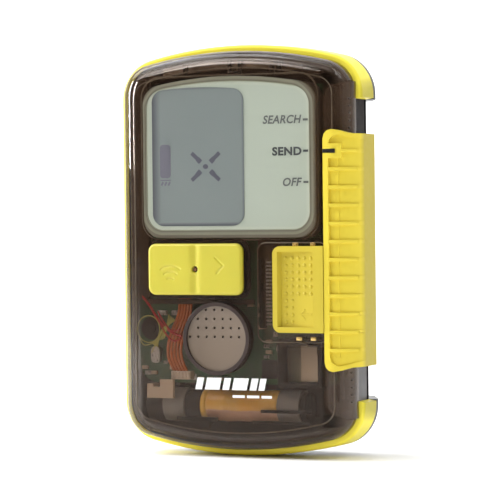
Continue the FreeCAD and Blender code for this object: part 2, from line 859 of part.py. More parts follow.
def make_main_slider():
    tall = (-40, 40)
    back = d.slider_back
    shell = d.slider_shell
    outside = quarter("slider_outside", d.slider_radius, tall, back)
    body = common("slider_body", outside, slider_silhouette("slider_outline", Size.of(0)))
    under = quarter("slider_under", d.slider_clearance, tall, back - 1)
    room = quarter("slider_room", d.slider_radius - shell, tall, back - 1)
    room_limit = common(
        "slider_room_limited", room, slider_silhouette("slider_room_outline", Size.of(1.2)),
    )
    panel_band = cut(
        "panel_band",
        quarter("panel_outside", d.slider_radius + 1, tall),
        panel_floor(tall),
    )
    panel = common("panel_pocket", panel_band, slider_silhouette("panel_outline", d.panel_rim))
    ribs = [rib(number) for number in range(int(d.rib_count.value))]
    marker_pad = box("marker_pad", (28, d.slider_left + 5.2), (20, 31), marker_span(2.1))
    cells = cut("panel_cells", panel, marker_pad, *ribs)
    marker_seat = box("marker_seat", *marker_limits())
    hollow = cut("slider_hollow", body, under, room_limit, cells, marker_seat)
    play = 0.3
    foot = box(
        "slider_foot", (d.groove_left + play, d.groove_right - play), (d.groove_floor + play, 27.6), (-30, 30))
    magnet_seats = [box("magnet_seat", *limits) for limits in magnet_limits()]
    foot_cut = cut("slider_foot_cut", foot, *magnet_seats)
    wall = d.case_half_width - d.wall_inset
    lip = box("slider_lip", (wall - 0.5, wall + 1.6), (back, back + 0.8), (-32.5, 32.5))
    node("main_slider", fuse("main_slider_shape", hollow, foot_cut, lip))
    node("slider_marker", box("slider_marker_bar", *marker_limits()))
    node("slider_magnets", group("slider_magnet_pair", *[
        box("slider_magnet", *limits) for limits in magnet_limits()]))


def panel_floor(tall):
    """The panel's floor: deepest beside the left rim, meeting the skin at the side."""
    bar = doc.addObject("Part::Cylinder", "panel_floor")
    bar.Placement = FreeCAD.Placement()
    bind(bar, "Radius", d.slider_radius - d.panel_depth / 2)
    bind(bar, "Height", Size.of(tall[1] - tall[0]))
    put(bar, d.slider_arc_x + d.panel_depth / 2, d.panel_depth / 2 - d.slider_arc_forward, tall[0])
    level = d.slider_arc_forward + d.slider_radius - d.panel_depth
    right = d.slider_arc_x + d.panel_depth / 2
    flat = box("panel_floor_flat", (28, right), (d.slider_arc_forward, level), tall)
    return fuse("panel_floor_with_flat", bar, flat)


def rib(number):
    middle = d.rib_top - d.rib_pitch * number
    half = d.rib_thickness / 2
    return box("slider_rib", (28, 40), (18, 31), (middle - half, middle + half))


def marker_span(half):
    return d.rib_top - half, d.rib_top + half


def marker_limits():
    half = d.marker_height / 2
    left = d.slider_left
    face = d.slider_arc_forward + d.slider_radius
    return (left, left + d.marker_width), (face - d.marker_depth, face), marker_span(half)


def magnet_limits():
    for low in (-26, 20):
        yield (d.magnet_left, d.magnet_right), (d.magnet_back, d.magnet_front), (low, low + d.magnet_length)


# -------------------------------------------------------------- lock tab

def ramp_left():
    """Where the thumb ramp's floor is deepest."""
    return d.lock_left + d.ramp_rim_left + d.ramp_wall_slope


def ramp_depth(x):
    """How far the thumb ramp's floor is behind the tab's face at a place."""
    share = (d.ramp_end - x) / (d.ramp_end - ramp_left())
    return d.ramp_shallow + (d.ramp_deep - d.ramp_shallow) * share


def bump_places():
    """Six rows of five bumps, then four more rows of two."""
    for row in range(10):
        columns = 5 if row < 6 else 2
        for column in range(columns):
            yield d.bump_left + d.bump_pitch * column, d.bump_top - d.bump_pitch * row


def bump(x, z):
    middle = d.lock_face - ramp_depth(x) + d.bump_height - d.bump_radius
    return ball("lock_bump", d.bump_radius, x, middle, z)


def make_lock_tab():
    back, face = d.lock_back, d.lock_face
    low, high = d.lock_bottom, d.lock_top
    spare = 3.0
    plate = slab(
        "lock_plate", rectangle((d.lock_left, d.lock_right + spare), (low, high), d.lock_corner), (back, face))
    end = box(
        "lock_end", (d.lock_right, d.lock_right + spare + 1), (back - 1, face + 1), (low - 1, high + 1))
    rim = d.lock_left + d.ramp_rim_left
    ramp = side_profile(
        "lock_ramp", (high - low) / 2 - d.ramp_rim_top,
        (rim, face + 1), (rim, face), (ramp_left(), face - d.ramp_deep),
        (d.ramp_end, face - d.ramp_shallow), (d.ramp_end, face + 1),
    )
    put(ramp, 0, 0, (high + low) / 2)
    bumps = [bump(x, z) for x, z in bump_places()]
    foot = box("lock_foot", (20, 26), (25, back), (-15, -9))
    node("lock_tab", fuse("lock_tab_shape", cut("lock_plate_cut", plate, end, ramp), foot, *bumps))
    leaf = fuse(
        "lock_spring_shape",
        box("lock_spring_leaf", (15.4, 15.8), (20.0, 25.0), (-14, -10)),
        box("lock_spring_tail", (12.4, 15.8), (20.0, 20.4), (-14, -10)),
    )
    node("lock_spring", leaf)
    recess_floor = d.lock_recess_floor
    strips = [
        box("lock_contact", (12.4, 28.4), (recess_floor, recess_floor + 0.15), limits)
        for limits in ((1.35, 2.25), (-25.4, -24.4))
    ]
    node("lock_contacts", group("lock_contact_pair", *strips))


# ------------------------------------------------------------ double key

def make_double_key():
    left, right, low, high = d.key_left, d.key_right, d.key_bottom, d.key_top
    skirt = d.key_flange
    middle_x, middle_z = (left + right) / 2, (low + high) / 2
    cap = slab("key_cap", rectangle((left, right), (low, high), d.key_corner), (d.key_flange_back, d.key_face))
    flange = slab("key_flange_plate", rectangle(
        (left - skirt, right + skirt), (low - skirt, high + skirt), d.key_corner),
        (d.key_flange_back, d.key_flange_front))
    light = rod("key_light_hole", "Y", d.light_hole_radius, middle_x, (24, 30), middle_z)
    cap = rounded("key_cap_soft", cap, 0.7, lambda edge: on_level(edge, d.key_face))
    node("double_key", cut("double_key_shape", fuse("key_body", cap, flange), light))
    led = fuse(
        "status_led_shape",
        rod("led_pipe", "Y", 0.5, middle_x, (21.6, 28.2), middle_z),
        box("led_base", (middle_x - 1.6, middle_x + 1.6), (20.0, 21.8), (middle_z - 0.8, middle_z + 0.8)),
    )
    node("status_led", led)
    switches = []
    for x in (-18.6, -3.2):
        switches.append(fuse(
            "key_switch",
            box("switch_base", (x - 3, x + 3), (20.0, 23.3), (middle_z - 3, middle_z + 3)),
            rod("switch_plunger", "Y", 1.7, x, (23.0, 24.0), middle_z),
        ))
    node("key_switches", group("key_switch_pair", *switches))


# --------------------------------------------------------------- display

def make_display():
    back = d.board_front
    glass = arched((d.glass_left, d.glass_right), (d.glass_bottom, d.glass_top), 5.0)
    frame = cut(
        "lcd_frame_shape",
        slab("lcd_frame_outside", arched(
            (d.frame_left, d.frame_right), (d.frame_bottom, d.frame_top), 5.6), (back, 26.1)),
        slab("lcd_frame_window", glass, (back - 1, 27)),
    )
    node("lcd_frame", frame)
    node("lcd_glass", slab("lcd_glass_pane", glass, (d.glass_back, d.glass_front)))
    film = arched((d.film_left, d.film_right), (d.film_bottom, d.film_top), 3.6)
    node("lcd_film", slab("lcd_film_sheet", film, (d.glass_front, d.glass_front + d.film_thickness)))
    guide = rectangle((d.glass_left + 1, d.glass_right - 1), (d.glass_bottom + 4, d.glass_top - 3), 2.0)
    node("light_guide", slab("light_guide_plate", guide, (22.0, d.glass_back)))
    node("zebra_strip", box("zebra_strip_bar", (-21, 18), (back, d.glass_back), (7.0, 9.0)))


# --------------------------------------------------------------- speaker

def make_speaker():
    x, z = d.speaker_x, d.speaker_z
    disc = d.speaker_disc_radius
    node("speaker_ring", ring("speaker_ring_shape", "Y", d.speaker_ring_radius, disc, x, (25.0, 28.0), z))
    front, edge = 27.0, 27.5
    dish = ball("speaker_dish", d.speaker_dish_radius, x, front + d.speaker_dish_radius, z)
    holes = []
    for column in range(7):
        for row in range(4):
            across = d.sound_hole_pitch_x * (column - 3) + d.sound_hole_shift_x
            up = d.sound_hole_pitch_z * row + d.sound_hole_shift_z
            if hypot(across.value, up.value) + d.sound_hole_radius.value < disc.value - 0.08:
                holes.append(rod("sound_hole", "Y", d.sound_hole_radius, x + across, (26, 28), z + up))
    plate = rod("speaker_plate", "Y", disc, x, (26.3, edge), z)
    node("speaker_grille", cut("speaker_grille_shape", plate, dish, *holes))
    driver = fuse(
        "speaker_driver_shape",
        rod("speaker_can", "Y", disc - 0.2, x, (22.4, 26.2), z),
        rod("speaker_magnet", "Y", 5.2, x, (20.0, 22.6), z),
    )
    node("speaker_driver", driver)


# --------------------------------------------------------- circuit board

def make_board():
    half = d.board_half_width
    front = d.board_front
    outline = rectangle((-half, half), (d.board_bottom, d.board_top), 6.0)
    node("main_board", slab("main_board_plate", outline, (d.board_back, front)))
    node("processor_chip", box("processor_package", (-10, 2), (front, 21.4), (20, 32)))
    node("radio_chip", box("radio_package", (6.6, 11.4), (front, 21.2), (-36.6, -31.4)))
    node("crystal_can", slab("crystal_package", rectangle((-28.4, -25.6), (-32.6, -27.8), 1.2), (front, 22.0)))
    chips = []
    places = [(-31, -34), (-28, -35.5), (-13, -37), (-10, -37), (-7, -37), (3, -15.6), (6.4, -15.6),
              (6.4, -18.4), (6.4, -22), (8.6, -26), (8.6, -29), (-22, -34), (30, -29), (30, 1)]
    for x, z in places:
        chips.append(box("chip_capacitor", (x - 0.9, x + 0.9), (front, front + 0.9), (z - 0.5, z + 0.5)))
    node("chip_capacitors", group("chip_capacitor_set", *chips))
    motor = fuse(
        "tilt_motor_shape",
        rod("motor_can", "Y", 3.25, -27.8, (front, 22.6), -22.5),
        rod("motor_lid", "Y", 1.4, -27.8, (22.4, 23.0), -22.5),
    )
    node("vibration_motor", motor)
    spacer = fuse(
        "top_spacer_shape",
        box("top_spacer_bar", (-19, 16), (20.4, 22.4), (50.4, 52.6)),
        *[box("top_spacer_rib", (x, x + 1.4), (20.4, 24.0), (50.4, 52.6)) for x in (-17, -9, -1.5, 6, 12)],
    )
    node("top_spacer", spacer)


# --------------------------------------------------------------- wiring

def make_wiring():
    cores = []
    pitch = 1.05
    for number in range(5):
        shift = pitch * (number - 2)
        cores.append([
            (-17.4 + shift, 22.2, -10.0), (-16.2 + shift, 22.8, -17.5),
            (-18.9 + shift, 22.6, -25.5), (-18.5 + shift, 21.6, -34.6),
        ])
    node("ribbon_cable", wires("ribbon_cores", 0.48, *cores))
    node("ribbon_connector", box("ribbon_housing", (-21.6, -15.4), (d.board_front, 22.6), (-37.2, -34.8)))
    red = [
        (-32.2, 21.2, -9.0), (-31.4, 22.6, -15.0), (-26.4, 24.8, -19.0), (-21.4, 24.8, -22.8),
        (-22.4, 22.4, -28.4),
    ]
    node("red_wire", wires("red_lead", 0.55, red))
    loops = [
        [(-31.8, 20.8, -20.5), (-30.2, 22.3, -17.6), (-25.4, 22.3, -18.2), (-23.4, 22.8, -23.0),
         (-26.0, 23.4, -27.0), (-31.0, 22.4, -26.2)],
        [(-32.0, 20.8, -28.6), (-28.6, 24.0, -29.0), (-23.0, 24.2, -27.4), (-21.8, 23.8, -31.4),
         (-24.6, 21.4, -36.4)],
    ]
    node("coil_leads", wires("coil_lead_pair", 0.28, *loops))


# --------------------------------------------------------------- antennas

def make_antennas():
    z, forward, radius = d.antenna_z, d.antenna_forward, d.antenna_radius
    core_radius = 3.6

    def sleeve(name, low, high, outer):
        return ring(name, "X", outer, core_radius, (low, high), forward, z)

    node("long_antenna_core", rod("long_core", "X", core_radius, (-29.7, 20.3), forward, z))
    node("long_antenna_winding", sleeve("long_winding", -12.6, 11.7, radius - 0.5))
    holders = [sleeve("left_holder", -24.4, -17.7, radius), sleeve("right_holder", 11.7, 18.4, radius)]
    node("antenna_holders", group("antenna_holder_pair", *holders))
    caps = [
        sleeve("left_cap", -29.7, -24.4, radius - 0.1),
        sleeve("middle_cap", -17.7, -12.6, radius - 0.6),
        sleeve("right_cap", 18.4, 20.3, radius - 0.6),
    ]
    node("antenna_caps", group("antenna_cap_set", *caps))
    side_x, side_forward, side_core = -30.0, 13.6, 2.4
    node("side_antenna_core", rod("side_core", "Z", side_core, side_x, side_forward, (-30.8, 34.8)))
    node("side_antenna_winding", ring("side_winding", "Z", 3.3, side_core, side_x, side_forward, (-18, 24)))
    square = cut(
        "depth_coil_frame_shape",
        slab("depth_frame_outside", rectangle((13.0, 26.8), (-38.7, -25.0), 1.0), (d.board_front, 25.0)),
        slab("depth_frame_window", rectangle((14.4, 25.4), (-37.4, -26.4), 0.6), (19, 26)),
    )
    node("depth_antenna_frame", square)
    coil = cut(
        "depth_coil_shape",
        slab("depth_coil_outside", rectangle((14.6, 25.2), (-37.2, -26.6), 1.6), (20.2, 23.2)),
        slab("depth_coil_window", rectangle((17.2, 22.6), (-34.6, -29.2), 1.0), (19, 25)),
    )
    node("depth_antenna_winding", coil)
    core = slab("depth_core", rectangle((17.3, 22.5), (-34.5, -29.3), 0.9), (20.2, 22.6))
    node("depth_antenna_core", core)
    cradle = fuse(
        "antenna_cradle_shape",
        box("cradle_plate", (-28.6, -20.2), (23.1, 24.3), (-42.6, -39.4)),
        box("cradle_leg", (-28.6, -26.6), (20.3, 24.3), (-39.4, -38.5)),
        box("cradle_lug", (-24.4, -20.2), (23.1, 24.3), (-39.4, -37.2)),
    )
    node("antenna_cradle", cradle)
    clips = [
        box("antenna_clip", (7.2, 23.0), (23.1, 23.7), (-46.2, -45.3)),
        box("antenna_clip", (4.4, 22.4), (23.1, 23.7), (-49.3, -48.4)),
        box("antenna_clip", (-19.4, -6.4), (23.1, 23.7), (-49.0, -47.8)),
    ]
    node("antenna_clips", group("antenna_clip_set", *clips))


# --------------------------------------------------------- battery parts

def make_batteries():
    forward = d.cell_forward
    half = d.cell_length / 2
    plate_thickness = 0.3
    spring_wire = 0.28
    springs = []
    plates = []
    for number in range(3):
        z = d.cell_mid_z + d.cell_pitch * (number - 1)
        way = 1 if number != 1 else -1
        middle = way * 1.4
        ends = (middle - half, middle + half)
        nub = (ends[1], ends[1] + 0.8) if way == 1 else (ends[0] - 0.8, ends[0])
        cell = fuse(
            f"cell_{number + 1}",
            rod("cell_body", "X", d.cell_radius, ends, forward, z),
            rod("cell_nub", "X", 1.9, nub, forward, z),
        )
        node(f"battery_cell_{number + 1}", cell)
        inner = d.bay_half_width - plate_thickness
        for limits in ((-d.bay_half_width, -inner), (inner, d.bay_half_width)):
            plates.append(box("contact_plate", limits, (3.4, 11.8), (z - 4.2, z + 4.2)))
        spring_start = way * (spring_wire + 0.05 - inner.value)
        spring_end = way * (middle * way - half.value - spring_wire - 0.05)
        springs.append(list(spring_route(spring_start, spring_end, z.value)))
    node("battery_springs", wires("battery_spring_set", spring_wire, *springs))
    node("battery_contacts", group("battery_contact_set", *plates))


def spring_route(plate, cell_end, z):
    """Points round a conical coil spring, from its contact plate to the cell."""
    turns, steps = 3.5, 9
    wide, narrow = 3.5, 1.9
    count = int(turns * steps)
    for number in range(count + 1):
        share = number / count
        angle = 2 * pi * number / steps
        radius = wide + (narrow - wide) * share
        along = plate + (cell_end - plate) * share
        yield along, d.cell_forward.value + radius * cos(angle), z + radius * sin(angle)


# ---------------------------------------------------------- battery door

def make_battery_door():
    side = d.door_half_width
    outer, inner = d.door_outer, d.door_inner
    knuckle = d.knuckle_half_width
    lock_z = d.door_lock_z
    plate = slab("door_plate", rectangle((-side, side), (d.door_bottom, d.door_top), 1.2), (outer, inner))
    grips = [
        box("door_grip_groove", (-9, 9), (-0.5, outer + 0.5), (z, z + 0.9)) for z in (11.5, 13.5, 15.5)
    ]
    door = fuse(
        "door_with_hinge",
        plate,
        box("door_tongue", (-knuckle, knuckle), (outer, inner), (d.door_top - 1, d.hinge_z)),
        rod("door_knuckle", "X", d.knuckle_radius, (-knuckle, knuckle), d.hinge_forward, d.hinge_z),
    )
    holes = [
        rod("door_pin_hole", "X", d.pin_radius + d.pin_play, (-26, 26), d.hinge_forward, d.hinge_z),
        rod("door_lock_seat", "Y", d.door_lock_radius + 0.05, 0, (-1, 1.35), lock_z),
        rod("door_lock_hole", "Y", 1.35, 0, (-1, 3), lock_z),
    ]
    node("battery_door", cut("battery_door_shape", door, *holes, *grips))
    node("hinge_pin", rod("hinge_pin_bar", "X", d.pin_radius, (-25.2, 25.2), d.hinge_forward, d.hinge_z))
    seal = cut(
        "door_seal_shape",
        slab("door_seal_outside", rectangle(
            (-d.bay_half_width - 0.8, d.bay_half_width + 0.8), (d.bay_bottom - 0.8, d.bay_top + 0.8), 1.4),
            (inner + 0.02, 2.4)),
        slab("door_seal_inside", rectangle(
            (-d.bay_half_width, d.bay_half_width), (d.bay_bottom, d.bay_top), 0.8), (1, 3)),
    )
    node("door_seal", seal)
    lock = fuse(
        "door_lock_solid",
        rod("door_lock_head", "Y", d.door_lock_radius, 0, (outer, 1.3), lock_z),
        rod("door_lock_shank", "Y", 1.3, 0, (1.3, 4.4), lock_z),
        box("door_lock_cam", (-3.0, 3.0), (3.2, 4.4), (lock_z - 1.1, lock_z + 1.1)),
    )
    slot = box("door_lock_slot", (-2.3, 2.3), (-1, 0.8), (lock_z - 0.45, lock_z + 0.45))
    node("door_lock", cut("door_lock_shape", lock, slot))


# ------------------------------------------------------------- the model

make_rear_case()
make_case_fittings()
make_bumper_band()
make_front_cover()
make_main_slider()
make_lock_tab()
make_double_key()
make_display()
make_speaker()
make_board()
make_wiring()
make_antennas()
make_batteries()
make_battery_door()
doc.recompute()

for thing in doc.Objects:
    if "Invalid" in thing.State or "Error" in thing.State:
        raise RuntimeError(f"{thing.Label} failed: {thing.State}")
for thing in NODES:
    if thing.Shape.isNull() or not thing.Shape.isValid() or not thing.Shape.Solids:
        raise RuntimeError(f"{thing.Label} has no valid solid")

os.makedirs("parts", exist_ok=True)
for thing in NODES:
    thing.Shape.exportStep(f"parts/{thing.Label}.step")
print(len(NODES), "sub-parts written")
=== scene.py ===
"""Avalanche transceiver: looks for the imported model. Sizes are in metres, in the model's frame."""
import math

import bpy
from mathutils import Matrix, Vector


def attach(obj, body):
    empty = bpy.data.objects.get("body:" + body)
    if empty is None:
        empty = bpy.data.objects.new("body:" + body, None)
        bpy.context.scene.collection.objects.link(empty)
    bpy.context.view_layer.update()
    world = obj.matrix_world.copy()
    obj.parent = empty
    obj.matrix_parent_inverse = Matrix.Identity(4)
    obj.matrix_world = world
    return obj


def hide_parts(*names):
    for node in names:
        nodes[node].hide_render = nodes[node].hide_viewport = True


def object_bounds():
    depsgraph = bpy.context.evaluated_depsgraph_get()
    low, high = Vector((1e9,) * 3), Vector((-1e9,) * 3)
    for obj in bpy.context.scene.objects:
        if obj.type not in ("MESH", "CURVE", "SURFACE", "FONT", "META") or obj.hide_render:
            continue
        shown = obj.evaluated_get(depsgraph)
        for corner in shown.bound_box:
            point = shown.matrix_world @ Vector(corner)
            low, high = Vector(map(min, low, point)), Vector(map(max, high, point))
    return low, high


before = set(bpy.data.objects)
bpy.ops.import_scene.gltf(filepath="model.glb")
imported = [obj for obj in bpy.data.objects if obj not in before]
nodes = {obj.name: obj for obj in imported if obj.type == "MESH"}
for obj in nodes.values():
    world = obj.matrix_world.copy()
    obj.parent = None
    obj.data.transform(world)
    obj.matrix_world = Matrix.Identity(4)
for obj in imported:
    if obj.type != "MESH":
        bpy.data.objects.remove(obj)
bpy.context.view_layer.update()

MM = 0.001


# ------------------------------------------------------------- camera, light

def make_camera():
    """A long lens from the front right, a touch above, turned slightly about its own axis."""
    azimuth, elevation, roll = math.radians(24.5), math.radians(1.0), math.radians(0.6)
    distance = 0.700
    target = Vector((0.0007, -0.0156, 0.0))
    away = Vector((
        math.sin(azimuth) * math.cos(elevation),
        -math.cos(azimuth) * math.cos(elevation),
        math.sin(elevation),
    ))
    level = Vector((0, 0, 1)).cross(away).normalized()
    upright = away.cross(level).normalized()
    right = level * math.cos(roll) - upright * math.sin(roll)
    up = upright * math.cos(roll) + level * math.sin(roll)
    data = bpy.data.cameras.new("camera")
    data.sensor_width = 36
    data.lens = 175
    data.clip_start = 0.01
    camera = bpy.data.objects.new("camera", data)
    camera.matrix_world = Matrix((right, up, away)).transposed().to_4x4()
    camera.location = target + away * distance
    bpy.context.scene.collection.objects.link(camera)
    bpy.context.scene.camera = camera


def area_light(name, place, aim, size, watts):
    data = bpy.data.lights.new(name, "AREA")
    data.shape = "RECTANGLE"
    data.size, data.size_y = size
    data.energy = watts
    light = bpy.data.objects.new(name, data)
    light.location = place
    light.rotation_euler = (Vector(aim) - Vector(place)).to_track_quat("-Z", "Y").to_euler()
    bpy.context.scene.collection.objects.link(light)


def make_studio():
    """Bright behind and above, dark in front, so that the flat cover mirrors little."""
    world = bpy.data.worlds.new("studio")
    world.use_nodes = True
    tree = world.node_tree
    background = tree.nodes["Background"]
    background.inputs["Color"].default_value = (1, 1, 1, 1)
    where = tree.nodes.new("ShaderNodeTexCoord")
    axes = tree.nodes.new("ShaderNodeSeparateXYZ")
    tree.links.new(where.outputs["Generated"], axes.inputs[0])
    fade = tree.nodes.new("ShaderNodeMapRange")
    fade.interpolation_type = "SMOOTHSTEP"
    tree.links.new(axes.outputs["Y"], fade.inputs["Value"])
    for name, value in (("From Min", -0.75), ("From Max", 0.35), ("To Min", 0.08), ("To Max", 0.60)):
        fade.inputs[name].default_value = value
    tree.links.new(fade.outputs["Result"], background.inputs["Strength"])
    bpy.context.scene.world = world
    bpy.context.scene.view_settings.view_transform = "Standard"
    middle = (0, -0.015, 0)
    area_light("left_softbox", (-0.60, -0.12, 0.15), middle, (0.09, 0.24), 3.4)
    area_light("front_softbox", (-0.36, -0.52, 0.72), middle, (0.40, 0.30), 3.8)
    area_light("right_softbox", (0.72, -0.42, 0.20), middle, (0.30, 0.60), 0.15)
    area_light("top_softbox", (0.0, 0.05, 0.80), middle, (0.60, 0.40), 1.5)
    area_light("left_wall_light", (-0.9, 0.1, 1.1), (-0.1, 0.9, 0.1), (1.1, 1.1), 22)
    area_light("right_wall_light", (0.9, -0.10, 0.9), (0.2, 0.9, 0.1), (0.6, 0.6), 5)


def make_backdrop():
    """A pale floor that curves up behind the object."""
    floor_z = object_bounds()[0][2]
    back, radius, half_width = 0.55, 0.35, 2.2
    profile = [(-2.5, floor_z), (back, floor_z)]
    steps = 16
    for step in range(1, steps + 1):
        angle = math.pi / 2 * step / steps
        profile.append((back + radius * math.sin(angle), floor_z + radius * (1 - math.cos(angle))))
    profile.append((back + radius, 2.2))
    vertices = [(x, y, z) for y, z in profile for x in (-half_width, half_width)]
    faces = [(2 * i, 2 * i + 1, 2 * i + 3, 2 * i + 2) for i in range(len(profile) - 1)]
    floor = add_mesh("floor", vertices, faces)
    floor.data.materials.append(plain_material("floor_paint", (0.95, 0.95, 0.945), 0.7))


# ------------------------------------------------------------------- helpers

def add_mesh(name, vertices, faces, smooth=True):
    mesh = bpy.data.meshes.new(name)
    mesh.from_pydata([tuple(v) for v in vertices], [], faces)
    mesh.validate()
    mesh.polygons.foreach_set("use_smooth", [smooth] * len(mesh.polygons))
    thing = bpy.data.objects.new(name, mesh)
    bpy.context.scene.collection.objects.link(thing)
    return thing


def piece(name, vertices, faces, material, slot, body="case", smooth=True, stands_for=()):
    """A new part of the look. Its points are (x, forward of the back face, z) in millimetres."""
    thing = add_mesh(name, [(x * MM, -forward * MM, z * MM) for x, forward, z in vertices], faces, smooth)
    thing.data.materials.append(material)
    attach(thing, body)
    for node in stands_for:
        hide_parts(node)


def join_meshes(*shapes):
    """Several (vertices, faces) as one."""
    vertices, faces = [], []
    for some_vertices, some_faces in shapes:
        start = len(vertices)
        vertices += some_vertices
        faces += [tuple(start + i for i in face) for face in some_faces]
    return vertices, faces


def loft(rings, count):
    """Faces between closed rings of count points that follow each other."""
    return [
        (ring * count + i, ring * count + (i + 1) % count,
         (ring + 1) * count + (i + 1) % count, (ring + 1) * count + i)
        for ring in range(rings - 1) for i in range(count)
    ]


def end_caps(rings, count):
    return [tuple(range(count))[::-1], tuple((rings - 1) * count + i for i in range(count))]


def rounded_outline(x, z, radius, inset=0.0, steps=6):
    """Points (x, z) round a rectangle with round corners, seen from the front, anticlockwise."""
    left, right, bottom, top = x[0] + inset, x[1] - inset, z[0] + inset, z[1] - inset
    radius = max(radius - inset, 0.02)
    points = []
    corners = (
        (right - radius, top - radius, 0), (left + radius, top - radius, 90),
        (left + radius, bottom + radius, 180), (right - radius, bottom + radius, 270),
    )
    for middle_x, middle_z, start in corners:
        for step in range(steps + 1):
            angle = math.radians(start + 90 * step / steps)
            points.append((middle_x + radius * math.cos(angle), middle_z + radius * math.sin(angle)))
    return points


def slab(outline, back, front, edge=0.0, steps=4):
    """A plate between two depths. outline(inset) gives its points. Its front edge is rounded by edge."""
    levels = [(back, 0.0)]
    for step in range(steps + 1 if edge else 1):
        angle = math.pi / 2 * step / steps
        levels.append((front - edge + edge * math.sin(angle), edge - edge * math.cos(angle)))
    rings = [[(x, forward, z) for x, z in outline(inset)] for forward, inset in levels]
    count = len(rings[0])
    vertices = [point for ring in rings for point in ring]
    return vertices, loft(len(rings), count) + end_caps(len(rings), count)


def plate(x, z, radius, forward, edge=0.0):
    """A round cornered plate."""
    return slab(lambda inset: rounded_outline(x, z, radius, inset), *forward, edge)


def block(x, forward, z, radius=0.15, edge=0.0):
    """A small round cornered plate, with fewer points."""
    return slab(lambda inset: rounded_outline(x, z, radius, inset, 3), *forward, edge, 3)


def smooth_path(points, per_span=10):
    """More points on a smooth curve through the given ones."""
    padded = [points[0]] + list(points) + [points[-1]]
    path = []
    for a, b, c, e in zip(padded, padded[1:], padded[2:], padded[3:]):
        for step in range(per_span):
            t = step / per_span
            path.append(tuple(
                0.5 * (2 * q + (r - p) * t + (2 * p - 5 * q + 4 * r - s) * t * t
                       + (3 * q - p - 3 * r + s) * t ** 3)
                for p, q, r, s in zip(a, b, c, e)
            ))
    path.append(tuple(points[-1]))
    return path


def tube(points, radius, sides=10, flatten=1.0):
    """A round wire along a smooth curve, with closed ends."""
    path = [Vector(p) for p in smooth_path(points)]
    side = None
    vertices = []
    for i, place in enumerate(path):
        ahead = (path[min(i + 1, len(path) - 1)] - path[max(i - 1, 0)]).normalized()
        if side is None:
            side = ahead.orthogonal().normalized()
        side = (side - ahead * side.dot(ahead)).normalized()
        other = ahead.cross(side)
        for k in range(sides):
            angle = 2 * math.pi * k / sides
            offset = side * math.cos(angle) + other * math.sin(angle)
            offset.y *= flatten
            vertices.append(tuple(place + offset * radius))
    return vertices, loft(len(path), sides) + end_caps(len(path), sides)


def revolved(profile, middle, axis, sides=48):
    """A turned shape. profile is (along, radius) pairs, axis is X or Y, along counts from middle."""
    vertices = []
    for along, radius in profile:
        for k in range(sides):
            angle = 2 * math.pi * k / sides
            a, b = radius * math.cos(angle), radius * math.sin(angle)
            if axis == "X":
                vertices.append((middle[0] + along, middle[1] + a, middle[2] + b))
            else:
                vertices.append((middle[0] + a, middle[1] + along, middle[2] + b))
    faces = loft(len(profile), sides)
    for cap, (_, radius) in zip(end_caps(len(profile), sides), (profile[0], profile[-1])):
        if radius > 0.01:
            faces.append(cap)
    return vertices, faces


def stroke(points, width, back, front):
    """A flat line of some width along points (x, z), with square ends."""
    left, right = [], []
    for i, (x, z) in enumerate(points):
        before, after = points[max(i - 1, 0)], points[min(i + 1, len(points) - 1)]
        run = Vector((after[0] - before[0], after[1] - before[1])).normalized()
        left.append((x - run.y * width / 2, z + run.x * width / 2))
        right.append((x + run.y * width / 2, z - run.x * width / 2))
    count = len(points)
    vertices, faces = [], []
    for forward in (back, front):
        for row in (left, right):
            vertices += [(x, forward, z) for x, z in row]
    for i in range(count - 1):
        for a, b in ((0, count), (3 * count, 2 * count), (count, 3 * count), (2 * count, 0)):
            faces.append((a + i, b + i, b + i + 1, a + i + 1))
    for i in (0, count - 1):
        faces.append((i, count + i, 3 * count + i, 2 * count + i))
    return vertices, faces


def words(text, x, z, forward, lean=0.0, weight=0.0):
    """Lettering as flat mesh: x and z are the ranges that it fills."""
    curve = bpy.data.curves.new("words", "FONT")
    curve.body = text
    curve.shear = lean
    curve.offset = weight
    curve.space_character = 1.06
    curve.resolution_u = 4
    holder = bpy.data.objects.new("words", curve)
    mesh = bpy.data.meshes.new_from_object(holder)
    xs = [v.co.x for v in mesh.vertices]
    ys = [v.co.y for v in mesh.vertices]
    vertices = [
        (x[0] + (v.co.x - min(xs)) / (max(xs) - min(xs)) * (x[1] - x[0]), forward,
         z[0] + (v.co.y - min(ys)) / (max(ys) - min(ys)) * (z[1] - z[0]))
        for v in mesh.vertices
    ]
    faces = [tuple(polygon.vertices) for polygon in mesh.polygons]
    bpy.data.objects.remove(holder)
    bpy.data.curves.remove(curve)
    bpy.data.meshes.remove(mesh)
    return vertices, faces


